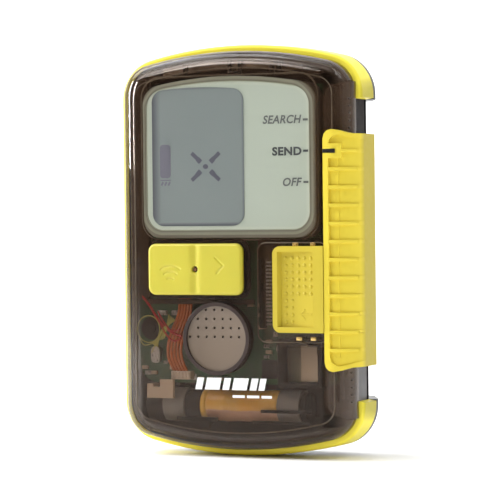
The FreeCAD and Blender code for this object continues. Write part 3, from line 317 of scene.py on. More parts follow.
class Tree:
    """A material's node tree, with short ways to add the nodes that surfaces share."""

    def __init__(self, name):
        self.material = bpy.data.materials.new(name)
        self.material.use_nodes = True
        self.tree = self.material.node_tree
        self.shader = self.tree.nodes["Principled BSDF"]
        self.out = self.tree.nodes["Material Output"]
        self.coordinates = self.add("ShaderNodeTexCoord").outputs["Object"]

    def add(self, kind, inputs=None, **settings):
        """A new node. inputs gives its inputs' values or the sockets that feed them."""
        node = self.tree.nodes.new(kind)
        for name, value in settings.items():
            setattr(node, name, value)
        for name, value in (inputs or {}).items():
            self.put(node.inputs[name], value)
        return node

    def put(self, socket, value):
        if isinstance(value, bpy.types.NodeSocket):
            self.tree.links.new(value, socket)
        elif isinstance(value, (tuple, list)) and len(value) == 3 and socket.type == "RGBA":
            socket.default_value = (*value, 1)
        else:
            socket.default_value = value

    def scaled(self, scale):
        return self.add("ShaderNodeMapping", {"Vector": self.coordinates, "Scale": scale}).outputs["Vector"]

    def noise(self, per_mm, detail=3.0, stretch=(1, 1, 1)):
        place = self.scaled(tuple(axis * per_mm / MM for axis in stretch))
        inputs = {"Vector": place, "Scale": 1.0, "Detail": detail}
        return self.add("ShaderNodeTexNoise", inputs).outputs["Fac"]

    def bands(self, axis, pitch_mm, distortion, detail=2.0):
        """The turns of a coil."""
        return self.add("ShaderNodeTexWave", {
            "Vector": self.coordinates, "Scale": 1 / (pitch_mm * MM) / 3.14, "Distortion": distortion,
            "Detail": detail,
        }, wave_type="BANDS", bands_direction=axis).outputs["Fac"]

    def ramp(self, value, low, high, out_low=0.0, out_high=1.0):
        return self.add("ShaderNodeMapRange", {
            "Value": value, "From Min": low, "From Max": high, "To Min": out_low, "To Max": out_high,
        }).outputs["Result"]

    def math(self, operation, first, second=0.0):
        return self.add("ShaderNodeMath", {0: first, 1: second}, operation=operation).outputs[0]

    def mix(self, factor, first, second):
        inputs = {"Factor": factor, "A": first, "B": second}
        return self.add("ShaderNodeMix", inputs, data_type="RGBA").outputs["Result"]

    def mix_shaders(self, factor, first, second):
        return self.add("ShaderNodeMixShader", {0: factor, 1: first, 2: second}).outputs[0]

    def along(self, axis):
        """One coordinate, in millimetres."""
        return self.add("ShaderNodeSeparateXYZ", {0: self.scaled((1 / MM, 1 / MM, 1 / MM))}).outputs[axis]

    def inside(self, x, z, corner, crown=0.0):
        """Millimetres outside a round cornered window, negative inside. crown bows its top edge up."""
        middle_x, middle_z = (x[0] + x[1]) / 2, (z[0] + z[1]) / 2
        across = self.math("SUBTRACT", self.along("X"), middle_x)
        up = self.along("Z")
        if crown:
            share = self.ramp(up, middle_z, z[1] - 4)
            bow = self.math("MULTIPLY", self.math("POWER", self.math("ABSOLUTE", across), 2.0), crown)
            up = self.math("ADD", up, self.math("MULTIPLY", bow, share))
        up = self.math("SUBTRACT", up, middle_z)
        over_x = self.math("SUBTRACT", self.math("ABSOLUTE", across), (x[1] - x[0]) / 2 - corner)
        over_z = self.math("SUBTRACT", self.math("ABSOLUTE", up), (z[1] - z[0]) / 2 - corner)
        far_x = self.math("MAXIMUM", over_x, 0.0)
        far_z = self.math("MAXIMUM", over_z, 0.0)
        squares = self.math("ADD", self.math("MULTIPLY", far_x, far_x), self.math("MULTIPLY", far_z, far_z))
        near = self.math("MINIMUM", self.math("MAXIMUM", over_x, over_z), 0.0)
        return self.math("SUBTRACT", self.math("ADD", self.math("SQRT", squares), near), corner)

    def steps(self, value, low, high, *stops):
        """Colours along a value between low and high: (place, colour) pairs."""
        node = self.add("ShaderNodeValToRGB", {"Fac": self.ramp(value, low, high)})
        elements = node.color_ramp.elements
        while len(elements) < len(stops):
            elements.new(0.5)
        for element, (place, colour) in zip(elements, stops):
            element.position = (place - low) / (high - low)
            element.color = (*colour, 1)
        return node.outputs["Color"]

    def soft_edges(self, radius_mm):
        return self.add("ShaderNodeBevel", {"Radius": radius_mm * MM}, samples=4).outputs["Normal"]

    def bump(self, height, depth_mm, strength=1.0, normal=None):
        inputs = {"Strength": strength, "Distance": depth_mm * MM, "Height": height}
        if normal is not None:
            inputs["Normal"] = normal
        return self.add("ShaderNodeBump", inputs).outputs["Normal"]

    def set(self, **values):
        names = {
            "base": "Base Color", "roughness": "Roughness", "metallic": "Metallic",
            "normal": "Normal", "coat": "Coat Weight", "coat_roughness": "Coat Roughness",
            "specular": "Specular IOR Level", "subsurface": "Subsurface Weight",
            "subsurface_scale": "Subsurface Scale",
        }
        for name, value in values.items():
            self.put(self.shader.inputs[names[name]], value)


def shade(colour, share):
    return tuple(min(share * channel, 1.0) for channel in colour)


def plain_material(name, colour, roughness):
    t = Tree(name)
    t.set(base=t.mix(t.noise(0.01, 2), shade(colour, 0.985), colour), roughness=roughness)
    return t.material


def moulded(name, colour, roughness=0.45, grain_per_mm=6.0, grain_mm=0.01, edge_mm=0.15,
            variation=0.06, coat=0.0, soft=0.0, shine=0.5, painted_shade=None):
    """Moulded plastic: faint flow clouds in the colour, a fine grain and rounded arrises.

    Its last argument is (axis, from, to, share): past there the colour darkens to that share, painted shade
    for a side turned away from the light.
    """
    t = Tree(name)
    clouds = t.ramp(t.noise(0.05, 4), 0.3, 0.7)
    base = t.mix(clouds, shade(colour, 1 - variation), shade(colour, 1 + variation * 0.6))
    if painted_shade:
        # Painted shade: past the given place the base colour darkens to the given share.
        axis, start, end, share = painted_shade
        base = t.mix(t.ramp(t.along(axis), start, end), base, shade(colour, share))
    t.set(
        base=base,
        roughness=t.ramp(t.noise(0.6, 3), 0.3, 0.7, roughness - 0.05, roughness + 0.06),
        normal=t.bump(t.noise(grain_per_mm, 2), grain_mm, 0.5, t.soft_edges(edge_mm)),
        coat=coat,
        specular=shine,
    )
    if soft:
        t.set(subsurface=soft, subsurface_scale=0.6 * MM)
    return t.material


def use(material, *names):
    """Give CAD nodes a material."""
    for name in names:
        slots = nodes[name].data.materials
        slots.clear()
        slots.append(material)


# ----------------------------------------------------------------- materials

def smoked_material():
    """Brown tinted clear plastic, denser round its shoulder, with an untinted window over the display."""
    t = Tree("smoked_clear")
    grain = t.noise(0.03, 2)
    tint = t.mix(grain, (0.845, 0.80, 0.765), (0.86, 0.815, 0.78))
    window = t.ramp(t.inside((-28.2, 25.9), (3.6, 49.9), 5.4, 0.0038), -0.25, 0.1, 1.0, 0.0)
    clear = t.mix(window, tint, (0.985, 0.985, 0.975))
    see = t.add("ShaderNodeBsdfTransparent", {"Color": clear}).outputs[0]
    t.set(base=(0.105, 0.066, 0.042), roughness=0.08)
    shoulder = t.ramp(t.along("Y"), -27.2, -24.3, 0.03, 0.62)
    dense = t.math("MULTIPLY", shoulder, t.ramp(window, 0.0, 1.0, 1.0, 0.0))
    body = t.mix_shaders(dense, see, t.shader.outputs[0])
    gloss = t.add("ShaderNodeBsdfGlossy", {"Color": (1, 1, 1), "Roughness": 0.03}).outputs[0]
    fresnel = t.add("ShaderNodeFresnel", {"IOR": 1.45}).outputs[0]
    lifted = t.math("MULTIPLY", t.math("SUBTRACT", fresnel, 0.0335), 1.2)
    mirror = t.math("MINIMUM", t.math("MAXIMUM", lifted, 0.005), 0.08)
    t.put(t.out.inputs["Surface"], t.mix_shaders(mirror, body, gloss))
    return t.material


def case_material():
    """Fine grained black plastic. The bare side is matt grey in its lower half and darker above."""
    t = Tree("rear_case_black")
    bare = t.math("MULTIPLY", t.ramp(t.along("X"), 35.4, 35.6), t.ramp(t.along("Y"), -12.1, -12.3))
    lower_grey = t.math("MULTIPLY", bare, t.ramp(t.along("Z"), -4.0, 4.0, 1.0, 0.0))
    upper_dark = t.math("MULTIPLY", bare, t.ramp(t.along("Z"), -4.0, 4.0, 0.0, 1.0))
    clouds = t.mix(t.noise(0.1, 3), (0.0135, 0.013, 0.0135), (0.018, 0.017, 0.0175))
    dark = t.mix(upper_dark, clouds, (0.009, 0.005, 0.004))
    t.set(
        base=t.mix(lower_grey, dark, (0.045, 0.040, 0.040)),
        roughness=t.ramp(t.noise(0.6, 3), 0.3, 0.7, 0.30, 0.40),
        specular=t.ramp(upper_dark, 0.0, 1.0, 0.5, 0.04),
        normal=t.bump(t.noise(7, 2), 0.02, 0.5, t.soft_edges(0.2)),
    )
    return t.material


def metal(name, colour, roughness=0.3, brushed=(1, 1, 1)):
    t = Tree(name)
    streaks = t.noise(4, 3, brushed)
    t.set(
        base=t.mix(streaks, shade(colour, 0.82), colour),
        metallic=1.0,
        roughness=t.ramp(streaks, 0.3, 0.7, roughness - 0.06, roughness + 0.08),
        normal=t.bump(streaks, 0.01, 0.3, t.soft_edges(0.08)),
    )
    return t.material


def winding_material(name, axis):
    """Fine enamelled wire wound round a core, under a clear amber tape."""
    t = Tree(name)
    turns = t.bands(axis, 0.45, 0.4)
    patches = t.noise(0.12, 3)
    copper = t.mix(turns, (0.24, 0.09, 0.02), (0.78, 0.42, 0.10))
    t.set(
        base=t.mix(t.ramp(patches, 0.45, 0.62), copper, (0.80, 0.50, 0.14)),
        roughness=t.ramp(turns, 0, 1, 0.42, 0.28),
        normal=t.bump(turns, 0.08, 0.7),
        coat=0.6,
    )
    return t.material


def board_material():
    """Green solder mask over a faint pattern of tracks and filled areas."""
    t = Tree("board_mask")
    place = t.add("ShaderNodeSeparateXYZ", {0: t.coordinates}).outputs
    flat = t.add("ShaderNodeCombineXYZ", {"X": place["X"], "Y": place["Z"]}).outputs[0]
    tracks = t.add("ShaderNodeTexBrick", {"Vector": flat, "Scale": 420, "Mortar Size": 0.03}).outputs["Fac"]
    patch = t.noise(0.25, 2)
    mask = t.mix(tracks, (0.020, 0.085, 0.040), (0.065, 0.20, 0.085))
    t.set(
        base=t.mix(t.ramp(patch, 0.5, 0.56), mask, (0.03, 0.12, 0.055)),
        roughness=0.35,
        normal=t.bump(tracks, 0.03, 0.5),
        coat=0.4,
    )
    return t.material


# Windows are x and z ranges, a corner radius and how far the top edge bows. Inks lie between two depths.
GLASS = ((-26.9, 23.9), (6.0, 48.1), 5.0, 0.0040)
FILM = ((-25.2, 3.8), (7.1, 46.7), 3.6, 0.0)
FILM_INK = (26.06, 26.10)
GLASS_INK = (25.93, 25.97)
LETTERS_FORWARD = 25.96
PRINT_BACK, PRINT_FRONT = 27.88, 27.94


def display_material():
    """The reflective layer behind the display: pale green, very fine sparkle, and a lighter line at its edge,
    a painted highlight on the glass's bevel.
    """
    t = Tree("display_reflector")
    sparkle = t.noise(9, 2)
    broad = t.noise(0.02, 2)
    base = t.mix(broad, (0.39, 0.435, 0.37), (0.415, 0.46, 0.395))
    fine = t.mix(t.ramp(sparkle, 0.35, 0.65, 0.0, 0.2), base, (0.48, 0.52, 0.455))
    # Painted highlight: a lighter line just inside the glass's edge, where its bevel catches the light.
    edge = t.ramp(t.inside(*GLASS), -1.1, -0.5)
    t.set(
        base=t.mix(t.math("MULTIPLY", edge, 0.75), fine, (0.47, 0.50, 0.42)),
        roughness=0.5,
        coat=0.4,
        coat_roughness=0.1,
    )
    return t.material


def film_material():
    """The active area: grey green, a painted violet shadow down its left side and a painted shadow line along
    its foot, where the mask above shades it; a little darker just inside its edge.
    """
    t = Tree("display_film")
    broad = t.noise(0.03, 2)
    fine = t.noise(5, 2)
    base = t.mix(broad, (0.183, 0.210, 0.214), (0.20, 0.229, 0.231))
    base = t.mix(t.ramp(fine, 0.4, 0.6, 0.0, 0.12), base, (0.165, 0.186, 0.189))
    # Painted shadow: the mask above shades the left side and the foot.
    left = t.ramp(t.along("X"), FILM[0][0] + 0.3, FILM[0][0] + 2.8, 1.0, 0.0)
    foot = t.ramp(t.along("Z"), FILM[1][0] + 0.2, FILM[1][0] + 1.1, 1.0, 0.0)
    top = t.ramp(t.inside(*FILM), -0.8, -0.1, 0.0, 0.45)
    shade = t.math("MAXIMUM", t.math("MULTIPLY", left, 0.9), t.math("MULTIPLY", foot, 0.95))
    t.set(
        base=t.mix(t.math("MAXIMUM", shade, top), base, (0.065, 0.065, 0.085)),
        roughness=0.45,
        coat=0.3,
        coat_roughness=0.15,
    )
    return t.material


def frame_material():
    """The display's rim: olive, a painted highlight as a pale line next to the glass and painted shade as
    darker lines where its steps are.
    """
    t = Tree("display_rim")
    distance = t.inside(*GLASS)
    # The pale stop is a painted highlight on the glass's bevel; the darkest stops are painted shade at the
    # rim's steps.
    lines = t.steps(
        distance, -0.5, 2.5,
        (-0.4, (0.42, 0.44, 0.34)), (0.15, (0.30, 0.30, 0.22)), (0.3, (0.10, 0.095, 0.07)),
        (0.75, (0.21, 0.20, 0.15)), (1.3, (0.25, 0.24, 0.18)), (1.6, (0.13, 0.115, 0.085)),
        (2.2, (0.16, 0.14, 0.105)),
    )
    t.set(
        base=t.mix(t.ramp(t.noise(0.2, 3), 0.3, 0.7, 0.0, 0.2), lines, (0.15, 0.135, 0.10)),
        roughness=0.3,
        coat=0.5,
        normal=t.soft_edges(0.3),
    )
    return t.material


def ink_material(name, colour, roughness=0.5):
    t = Tree(name)
    t.set(
        base=t.mix(t.noise(2, 3), shade(colour, 0.9), colour),
        roughness=t.ramp(t.noise(5, 2), 0.3, 0.7, roughness - 0.05, roughness + 0.05),
        normal=t.bump(t.noise(12, 2), 0.004, 0.3),
    )
    return t.material


def tape_material():
    """Coil under amber film above, with pinkish paper tape over its lower half."""
    t = Tree("coil_tape")
    turns = t.bands("X", 0.5, 0.6, 1.0)
    patches = t.ramp(t.noise(0.14, 3), 0.42, 0.62)
    amber = t.mix(t.ramp(turns, 0, 1, 0.0, 0.35), (0.98, 0.52, 0.055), (0.62, 0.28, 0.025))
    amber = t.mix(t.math("MULTIPLY", patches, 0.5), amber, (0.98, 0.68, 0.20))
    paper = t.mix(t.noise(0.5, 3), (0.58, 0.33, 0.22), (0.76, 0.49, 0.34))
    height = t.math("ADD", t.along("Z"), t.ramp(t.noise(0.1, 1), 0.3, 0.7, -0.25, 0.25))
    lower = t.ramp(height, -45.9, -45.5, 1.0, 0.0)
    collar = t.ramp(t.along("X"), -10.9, -10.6, 1.0, 0.0)
    base = t.mix(lower, amber, paper)
    t.set(
        base=t.mix(collar, base, (0.98, 0.60, 0.10)),
        roughness=t.ramp(turns, 0, 1, 0.40, 0.28),
        normal=t.bump(turns, 0.04, 0.5),
        coat=0.5,
    )
    return t.material


def inlay_material():
    """What shows through the square coil's frame: green board on the left, beige winding on the right."""
    t = Tree("square_inlay")
    across = t.along("X")
    stripes = t.steps(
        across, 14.0, 26.0,
        (14.2, (0.22, 0.20, 0.16)), (16.4, (0.30, 0.32, 0.24)), (18.6, (0.42, 0.40, 0.30)),
        (19.4, (0.72, 0.60, 0.45)), (22.6, (0.86, 0.73, 0.56)), (25.2, (0.95, 0.83, 0.66)),
    )
    fade = t.ramp(t.along("Z"), -37.4, -28.0, 0.0, 0.45)
    t.set(
        base=t.mix(fade, stripes, (0.19, 0.15, 0.12)),
        roughness=t.ramp(t.noise(1.2, 3), 0.3, 0.7, 0.35, 0.5),
        normal=t.bump(t.noise(1.5, 3, (1, 1, 0.2)), 0.05, 0.4),
    )
    return t.material


def spacer_material():
    """Beige sheet with a few darker blotches, as behind smoked plastic."""
    t = Tree("spacer_bar")
    blotches = t.mix(t.ramp(t.noise(0.22, 3), 0.42, 0.6), (0.42, 0.34, 0.26), (0.19, 0.145, 0.11))
    t.set(
        base=t.mix(t.ramp(t.along("X"), 2.0, 8.0, 0.0, 0.55), blotches, (0.10, 0.07, 0.05)),
        roughness=0.45,
        normal=t.bump(t.noise(3, 2), 0.02, 0.4, t.soft_edges(0.3)),
    )
    return t.material


# -------------------------------------------------------------------- pieces

def flat_mark(name, shapes, ink, slot):
    piece(name, *join_meshes(*shapes), ink, slot, smooth=False)


def display_marks():
    """Two symbols on the display's active area and the three switch positions beside it."""
    segments = []
    middle_x, middle_z = -8.2, 24.05
    for turn_x, turn_z in ((-1, 1), (1, 1), (1, -1), (-1, -1)):
        near, bend, far = (
            (middle_x + turn_x * x, middle_z + turn_z * z) for x, z in ((1.55, 1.25), (2.6, 2.3), (4.4, 3.9))
        )
        segments.append(stroke([near, bend], 1.45, *FILM_INK))
        segments.append(stroke([bend, far], 1.15, *FILM_INK))
    dot = []
    for eighth in range(16):
        angle = eighth * math.pi / 8
        dot.append((middle_x + 0.85 * math.cos(angle), FILM_INK[1], middle_z + 0.7 * math.sin(angle)))
    segments.append((dot, [tuple(range(16))]))
    flat_mark("display_cross", segments, ink_material("display_ink", (0.085, 0.085, 0.115)), "display_film")
    gauge = [
        plate((-22.7, -19.3), (20.9, 30.5), 1.0, FILM_INK),
        stroke([(-22.6, 20.3), (-19.3, 20.3)], 0.3, *FILM_INK),
    ]
    for x in (-22.0, -20.9, -19.8):
        gauge.append(stroke([(x - 0.3, 18.8), (x + 0.25, 19.8)], 0.55, *FILM_INK))
    flat_mark("display_gauge", gauge, ink_material("gauge_ink", (0.145, 0.14, 0.18)), "display_film")
    ticks = [stroke([(22.1, z), (23.6, z)], 0.62, *GLASS_INK) for z in (36.75, 19.25, 28.0)]
    outer = [
        words("SEARCH", (9.75, 21.65), (35.75, 38.15), LETTERS_FORWARD, 0.22, 0.024),
        words("OFF", (15.8, 21.65), (18.1, 20.5), LETTERS_FORWARD, 0.22, 0.024),
        *ticks[:2],
    ]
    flat_mark("switch_legends", outer, ink_material("legend_ink", (0.115, 0.12, 0.12)), "display_glass")
    chosen = [words("SEND", (12.6, 21.6), (26.75, 29.2), LETTERS_FORWARD, 0.0, 0.036), ticks[2]]
    flat_mark("middle_legend", chosen, ink_material("dark_ink", (0.055, 0.06, 0.065)), "display_glass")


def front_print():
    """A plain printed device on the cover: a row of slanted bars over a thin broken line."""
    foot, head, lean = -39.5, -36.1, 0.22
    shift = (head - foot) * lean
    bars = []
    for left, width in ((-11.3, 2.1), (-8.3, 4.6), (-2.8, 2.1), (0.2, 4.6), (5.7, 2.1), (8.4, 1.9)):
        corners = [(left, foot), (left + width, foot), (left + width + shift, head), (left + shift, head)]
        vertices = [(x, forward, z) for forward in (PRINT_BACK, PRINT_FRONT) for x, z in corners]
        bars.append((vertices, loft(2, 4) + end_caps(2, 4)))
    for left, right in ((0.4, 4.2), (4.9, 8.7), (9.4, 12.6)):
        bars.append(stroke([(left, -41.3), (right, -41.3)], 0.75, PRINT_BACK, PRINT_FRONT - 0.01))
    flat_mark("front_print", bars, ink_material("white_ink", (0.93, 0.93, 0.92), 0.4), "led_clear")


# The double key's left, right, bottom and top edges and its corner radius.
KEY = (-25.8, 4.0, -12.6, 2.1, 2.3)
KEY_FACE = 28.62
KEY_ARRIS = 0.95
KEY_VALLEY_X = -10.85
KEY_LIGHT = (-10.9, -5.25)
WAVES_FOOT = (-18.6, -9.7)
ARROW_LINES = (((-4.3, -2.0), (-1.9, -4.2)), ((-1.9, -4.2), (-3.9, -6.3)))


def bell(distance, width):
    return math.exp(-((distance / width) ** 2))


def key_sign_distance(x, z):
    """How far a place on the double key is from the nearest line of its two signs."""
    line = 9.0
    aside, above = x - WAVES_FOOT[0], z - WAVES_FOOT[1]
    if abs(math.degrees(math.atan2(aside, above))) < 36:
        line = min(abs(math.hypot(aside, above) - radius) for radius in (2.0, 3.7, 5.4))
    for start, end in ARROW_LINES:
        run_x, run_z = end[0] - start[0], end[1] - start[1]
        share = ((x - start[0]) * run_x + (z - start[1]) * run_z) / (run_x ** 2 + run_z ** 2)
        share = min(max(share, 0.0), 1.0)
        line = min(line, math.hypot(x - start[0] - share * run_x, z - start[1] - share * run_z))
    return line


def key_height(x, z):
    """How far forward the double key's skin is at a place."""
    left, right, bottom, top, corner = KEY
    over_x = abs(x - (left + right) / 2) - ((right - left) / 2 - corner)
    over_z = abs(z - (bottom + top) / 2) - ((top - bottom) / 2 - corner)
    outside = math.hypot(max(over_x, 0), max(over_z, 0)) + min(max(over_x, over_z), 0) - corner
    depth = max(-outside, 0.0)
    height = KEY_FACE
    if depth < KEY_ARRIS:
        height -= KEY_ARRIS - math.sqrt(KEY_ARRIS ** 2 - (KEY_ARRIS - depth) ** 2)
    hole = math.hypot(x - KEY_LIGHT[0], z - KEY_LIGHT[1])
    height -= 0.40 * bell(x - KEY_VALLEY_X, 1.15)
    height += 0.10 * bell(hole - 1.25, 0.35)
    height -= 1.7 * min(max((0.95 - hole) / 0.2, 0.0), 1.0)
    height -= 0.20 * bell(key_sign_distance(x, z), 0.26)
    return height


def spread(step, steps):
    """Shares from 0 to 1, a little closer together towards both ends."""
    return 0.5 - 0.5 * math.cos(math.pi * step / steps) * 0.15 - 0.85 * (0.5 - step / steps)


def double_key_skin(material, skirt_material):
    """The double key's soft skin: two pillows, a valley, the light's hole and a sunk sign on each."""
    left, right, bottom, top, corner = KEY
    across, upward = 230, 116
    vertices = []
    for i in range(across + 1):
        x = left + (right - left) * spread(i, across)
        into = max(left + corner - x, x - (right - corner), 0.0)
        trim = corner - math.sqrt(max(corner ** 2 - into ** 2, 0.0))
        for k in range(upward + 1):
            z = bottom + trim + (top - bottom - 2 * trim) * spread(k, upward)
            vertices.append((x, key_height(x, z), z))
    row = upward + 1
    faces = [
        (i * row + k, (i + 1) * row + k, (i + 1) * row + k + 1, i * row + k + 1)
        for i in range(across) for k in range(upward)
    ]
    rim = list(range(row))
    rim += [i * row + upward for i in range(1, across + 1)]
    rim += [across * row + k for k in range(upward - 1, -1, -1)]
    rim += [i * row for i in range(across - 1, 0, -1)]
    start = len(vertices)
    vertices += [(vertices[index][0], 27.2, vertices[index][2]) for index in rim]
    count = len(rim)
    for i in range(count):
        j = (i + 1) % count
        faces.append((rim[i], rim[j], start + j, start + i))
    faces.append(tuple(start + i for i in range(count)))
    piece("double_key_skin", vertices, faces, material, "key_yellow", "key", stands_for=["double_key"])
    skirt = plate((left + 0.1, right - 0.1), (bottom + 0.1, top - 0.1), 2.2, (25.4, 27.25))
    flange = plate((left - 1.1, right + 1.1), (bottom - 1.1, top + 1.1), 3.3, (24.9, 25.6), 0.3)
    piece("double_key_skirt", *join_meshes(skirt, flange), skirt_material, "black_rubber", "key")


def wiring(orange, red, green, beige):
    """Flat cable, one red lead, and the coil's fine leads."""
    cores = []
    for number in range(5):
        shift = 1.04 * (number - 2)
        cores.append(tube([
            (-17.3 + shift * 0.8, 21.6, -9.0), (-16.9 + shift * 0.85, 22.3, -13.5),
            (-16.9 + shift * 0.9, 22.9, -18.0), (-18.6 + shift, 23.0, -22.5), (-20.2 + shift, 22.8, -27.0),
            (-20.4 + shift, 22.3, -31.0), (-19.0 + shift * 0.95, 21.6, -34.9),
        ], 0.42, 10, 0.75))
    piece("flat_cable", *join_meshes(*cores), orange, "ribbon_orange", stands_for=["ribbon_cable"])
    lead = tube([
        (-33.0, 20.9, -9.5), (-32.6, 21.4, -11.2), (-30.4, 22.2, -13.6), (-27.9, 22.9, -16.3),
        (-25.6, 23.5, -19.2), (-22.6, 23.9, -22.2), (-19.6, 24.2, -23.9), (-17.2, 24.3, -24.6),
    ], 0.36, 10)
    piece("red_lead", *lead, red, "wire_red", stands_for=["red_wire"])
    pair = [
        tube([(-26.2, 23.6, -18.0), (-24.2, 24.3, -21.0), (-21.8, 24.6, -24.4), (-19.6, 24.6, -26.0),
              (-17.4, 24.4, -25.2)], 0.24, 8),
        tube([(-25.0, 23.9, -17.6), (-22.9, 24.6, -20.4), (-20.3, 24.9, -23.0),
              (-17.6, 24.9, -22.6)], 0.24, 8),
    ]
    piece("red_lead_pair", *join_meshes(*pair), red, "wire_red")
    turns = [a * math.pi / 6 for a in range(13)]
    loop = [(-28.3 + 3.6 * math.cos(turn), 23.4, -22.7 + 3.9 * math.sin(turn)) for turn in turns]
    strands = [tube(loop, 0.14, 6)]
    for side in range(-3, 4):
        strands.append(tube([
            (-26.4 + 0.30 * side, 23.4, -27.4 - 0.16 * side), (-24.8 + 0.12 * side, 24.1, -25.2 + 0.20 * side),
            (-23.0 - 0.10 * side, 24.5, -23.8 + 0.42 * side), (-21.4 + 0.22 * side, 24.3, -21.4 + 0.15 * side),
            (-20.6 + 0.35 * side, 23.6, -19.2 - 0.25 * side),
        ], 0.13, 6))
    for ends in (
        [(-31.6, 23.0, -25.4), (-29.6, 23.8, -27.3), (-26.6, 24.2, -26.6), (-24.0, 24.5, -24.6)],
        [(-27.6, 23.2, -29.6), (-26.4, 23.9, -28.0), (-24.6, 24.4, -25.6), (-23.4, 24.6, -23.2)],
    ):
        strands.append(tube(ends, 0.15, 6))
    piece("coil_strands", *join_meshes(*strands), green, "wire_yellow_green", stands_for=["coil_leads"])
    teeth = [block((-21.5 + 1.03 * n, -20.8 + 1.03 * n), (22.5, 22.75), (-36.9, -35.1), 0.1) for n in range(6)]
    piece("cable_plug_ribs", *join_meshes(*teeth), beige, "connector_beige")


def top_bar(material):
    """The crowned spacer along the top of the case."""
    crown = [(x, 54.45 - 0.0038 * x * x) for x in range(-23, 21)]
    foot = [(x, 51.85 - 0.0030 * x * x) for x in range(20, -24, -1)]
    points = crown[::-1] + foot[::-1]
    bar = slab(lambda inset: points, 20.4, 22.9)
    piece("top_bar", *bar, material, "spacer_beige", stands_for=["top_spacer"])


def inside_details(black, silver):
    """Small things that show through the cover."""
    ribs = [
        block((-15.9, -14.9), (22.95, 24.4), (50.8, 53.4), 0.2),
        block((-1.7, -0.9), (22.95, 24.6), (51.0, 54.2), 0.2),
        block((1.5, 2.3), (22.95, 24.6), (51.0, 54.2), 0.2),
        block((-1.7, 2.3), (22.95, 24.6), (50.3, 51.1), 0.2),
        block((11.2, 12.4), (22.95, 24.6), (49.6, 52.2), 0.2),
        block((13.4, 14.6), (22.95, 24.4), (51.0, 53.6), 0.2),
        block((-34.1, -30.7), (21.4, 22.4), (-3.9, -2.5), 0.2),
    ]
    piece("cover_ribs", *join_meshes(*ribs), black, "black_plastic")
    levels = [-3.4 - 1.04 * number for number in range(18)]
    legs = [block((8.3, 10.0), (20.1, 21.6), (z - 0.24, z + 0.24), 0.1, 0.08) for z in levels]
    piece("chip_legs", *join_meshes(*legs), silver, "steel")
    piece("chip_row", *block((6.0, 8.0), (20.05, 21.4), (-22.2, -2.6), 0.3, 0.15), black, "chip_black")
    # Each pad's middle and half its size.
    spots = [
        (-25.4, -18.1, 1.5, 0.7), (-21.2, -18.1, 1.3, 0.7), (-30.2, -13.6, 0.8, 0.8), (-30.4, -35.6, 1.0, 0.6),
        (-26.4, -31.0, 0.6, 0.6), (-24.6, -32.4, 0.8, 0.5), (-12.4, -13.9, 1.6, 0.6), (-9.6, -13.9, 1.0, 0.6),
        (7.6, -27.4, 0.9, 0.5), (7.6, -30.4, 0.9, 0.5), (11.2, -27.8, 0.6, 0.9), (29.0, -31.5, 0.8, 1.4),
        (29.2, -27.4, 0.8, 0.8), (-15.2, -36.6, 0.6, 0.9), (0.6, -37.0, 1.2, 0.5), (10.4, -24.0, 0.7, 0.7),
    ]
    pads = [block((x - w, x + w), (20.0, 20.12), (z - h, z + h), 0.1) for x, z, w, h in spots]
    piece("board_pads", *join_meshes(*pads), silver, "steel")


def lock_leaves(material):
    """The contact leaves that show above and below the lock tab."""
    places = ((18.9, 20.6, 1.75), (24.3, 25.8, 1.75), (19.8, 21.5, -24.75), (24.2, 25.8, -24.75))
    leaves = [block((low, high), (26.6, 26.85), (z - 0.5, z + 0.5), 0.2, 0.1) for low, high, z in places]
    piece("lock_leaves", *join_meshes(*leaves), material, "gold_contact", stands_for=["lock_contacts"])


def lock_arrow(material):
    """A faint raised arrow on the thumb ramp."""
    tip = (21.6, -17.8)
    arrow = []
    for end in ((25.4, -17.8), (23.2, -16.4), (23.2, -19.2)):
        vertices, faces = stroke([tip, end], 0.4, 0.0, 1.0)
        raised = [(x, 28.0 + (0.35 + RAMP_SLOPE * (x - tip[0])) * share, z) for x, share, z in vertices]
        arrow.append((raised, faces))
    piece("lock_arrow", *join_meshes(*arrow), material, "slider_yellow", "lock", smooth=False)


def case_outline(inset, steps=8):
    """The case seen from the front, some way in from its edge: straight sides and crowned ends."""
    corner_x, corner_z, crown_z = 26.0, 43.823, -61.0
    tip = math.atan2(corner_z - crown_z, corner_x)
    small, large = 12.0 - inset, 120.0 - inset
    quadrant = []
    for step in range(steps + 1):
        angle = tip * step / steps
        quadrant.append((corner_x + small * math.cos(angle), corner_z + small * math.sin(angle)))
    for step in range(1, steps + 1):
        angle = tip + (math.pi / 2 - tip) * step / steps
        quadrant.append((large * math.cos(angle), crown_z + large * math.sin(angle)))
    upper = quadrant + [(-x, z) for x, z in quadrant[-2::-1]]
    return upper + [(x, -z) for x, z in upper[::-1]]


def bead(outline, forward, width, height):
    """A thin raised line round an outline, whose points outline(inset) gives."""
    rings = (
        (0.0, forward - height), (width / 2, forward), (width, forward - height),
        (width / 2, forward - 1.5 * height), (0.0, forward - height),
    )
    vertices = [(x, level, z) for inset, level in rings for x, z in outline(inset)]
    return vertices, loft(len(rings), len(outline(0.0)))


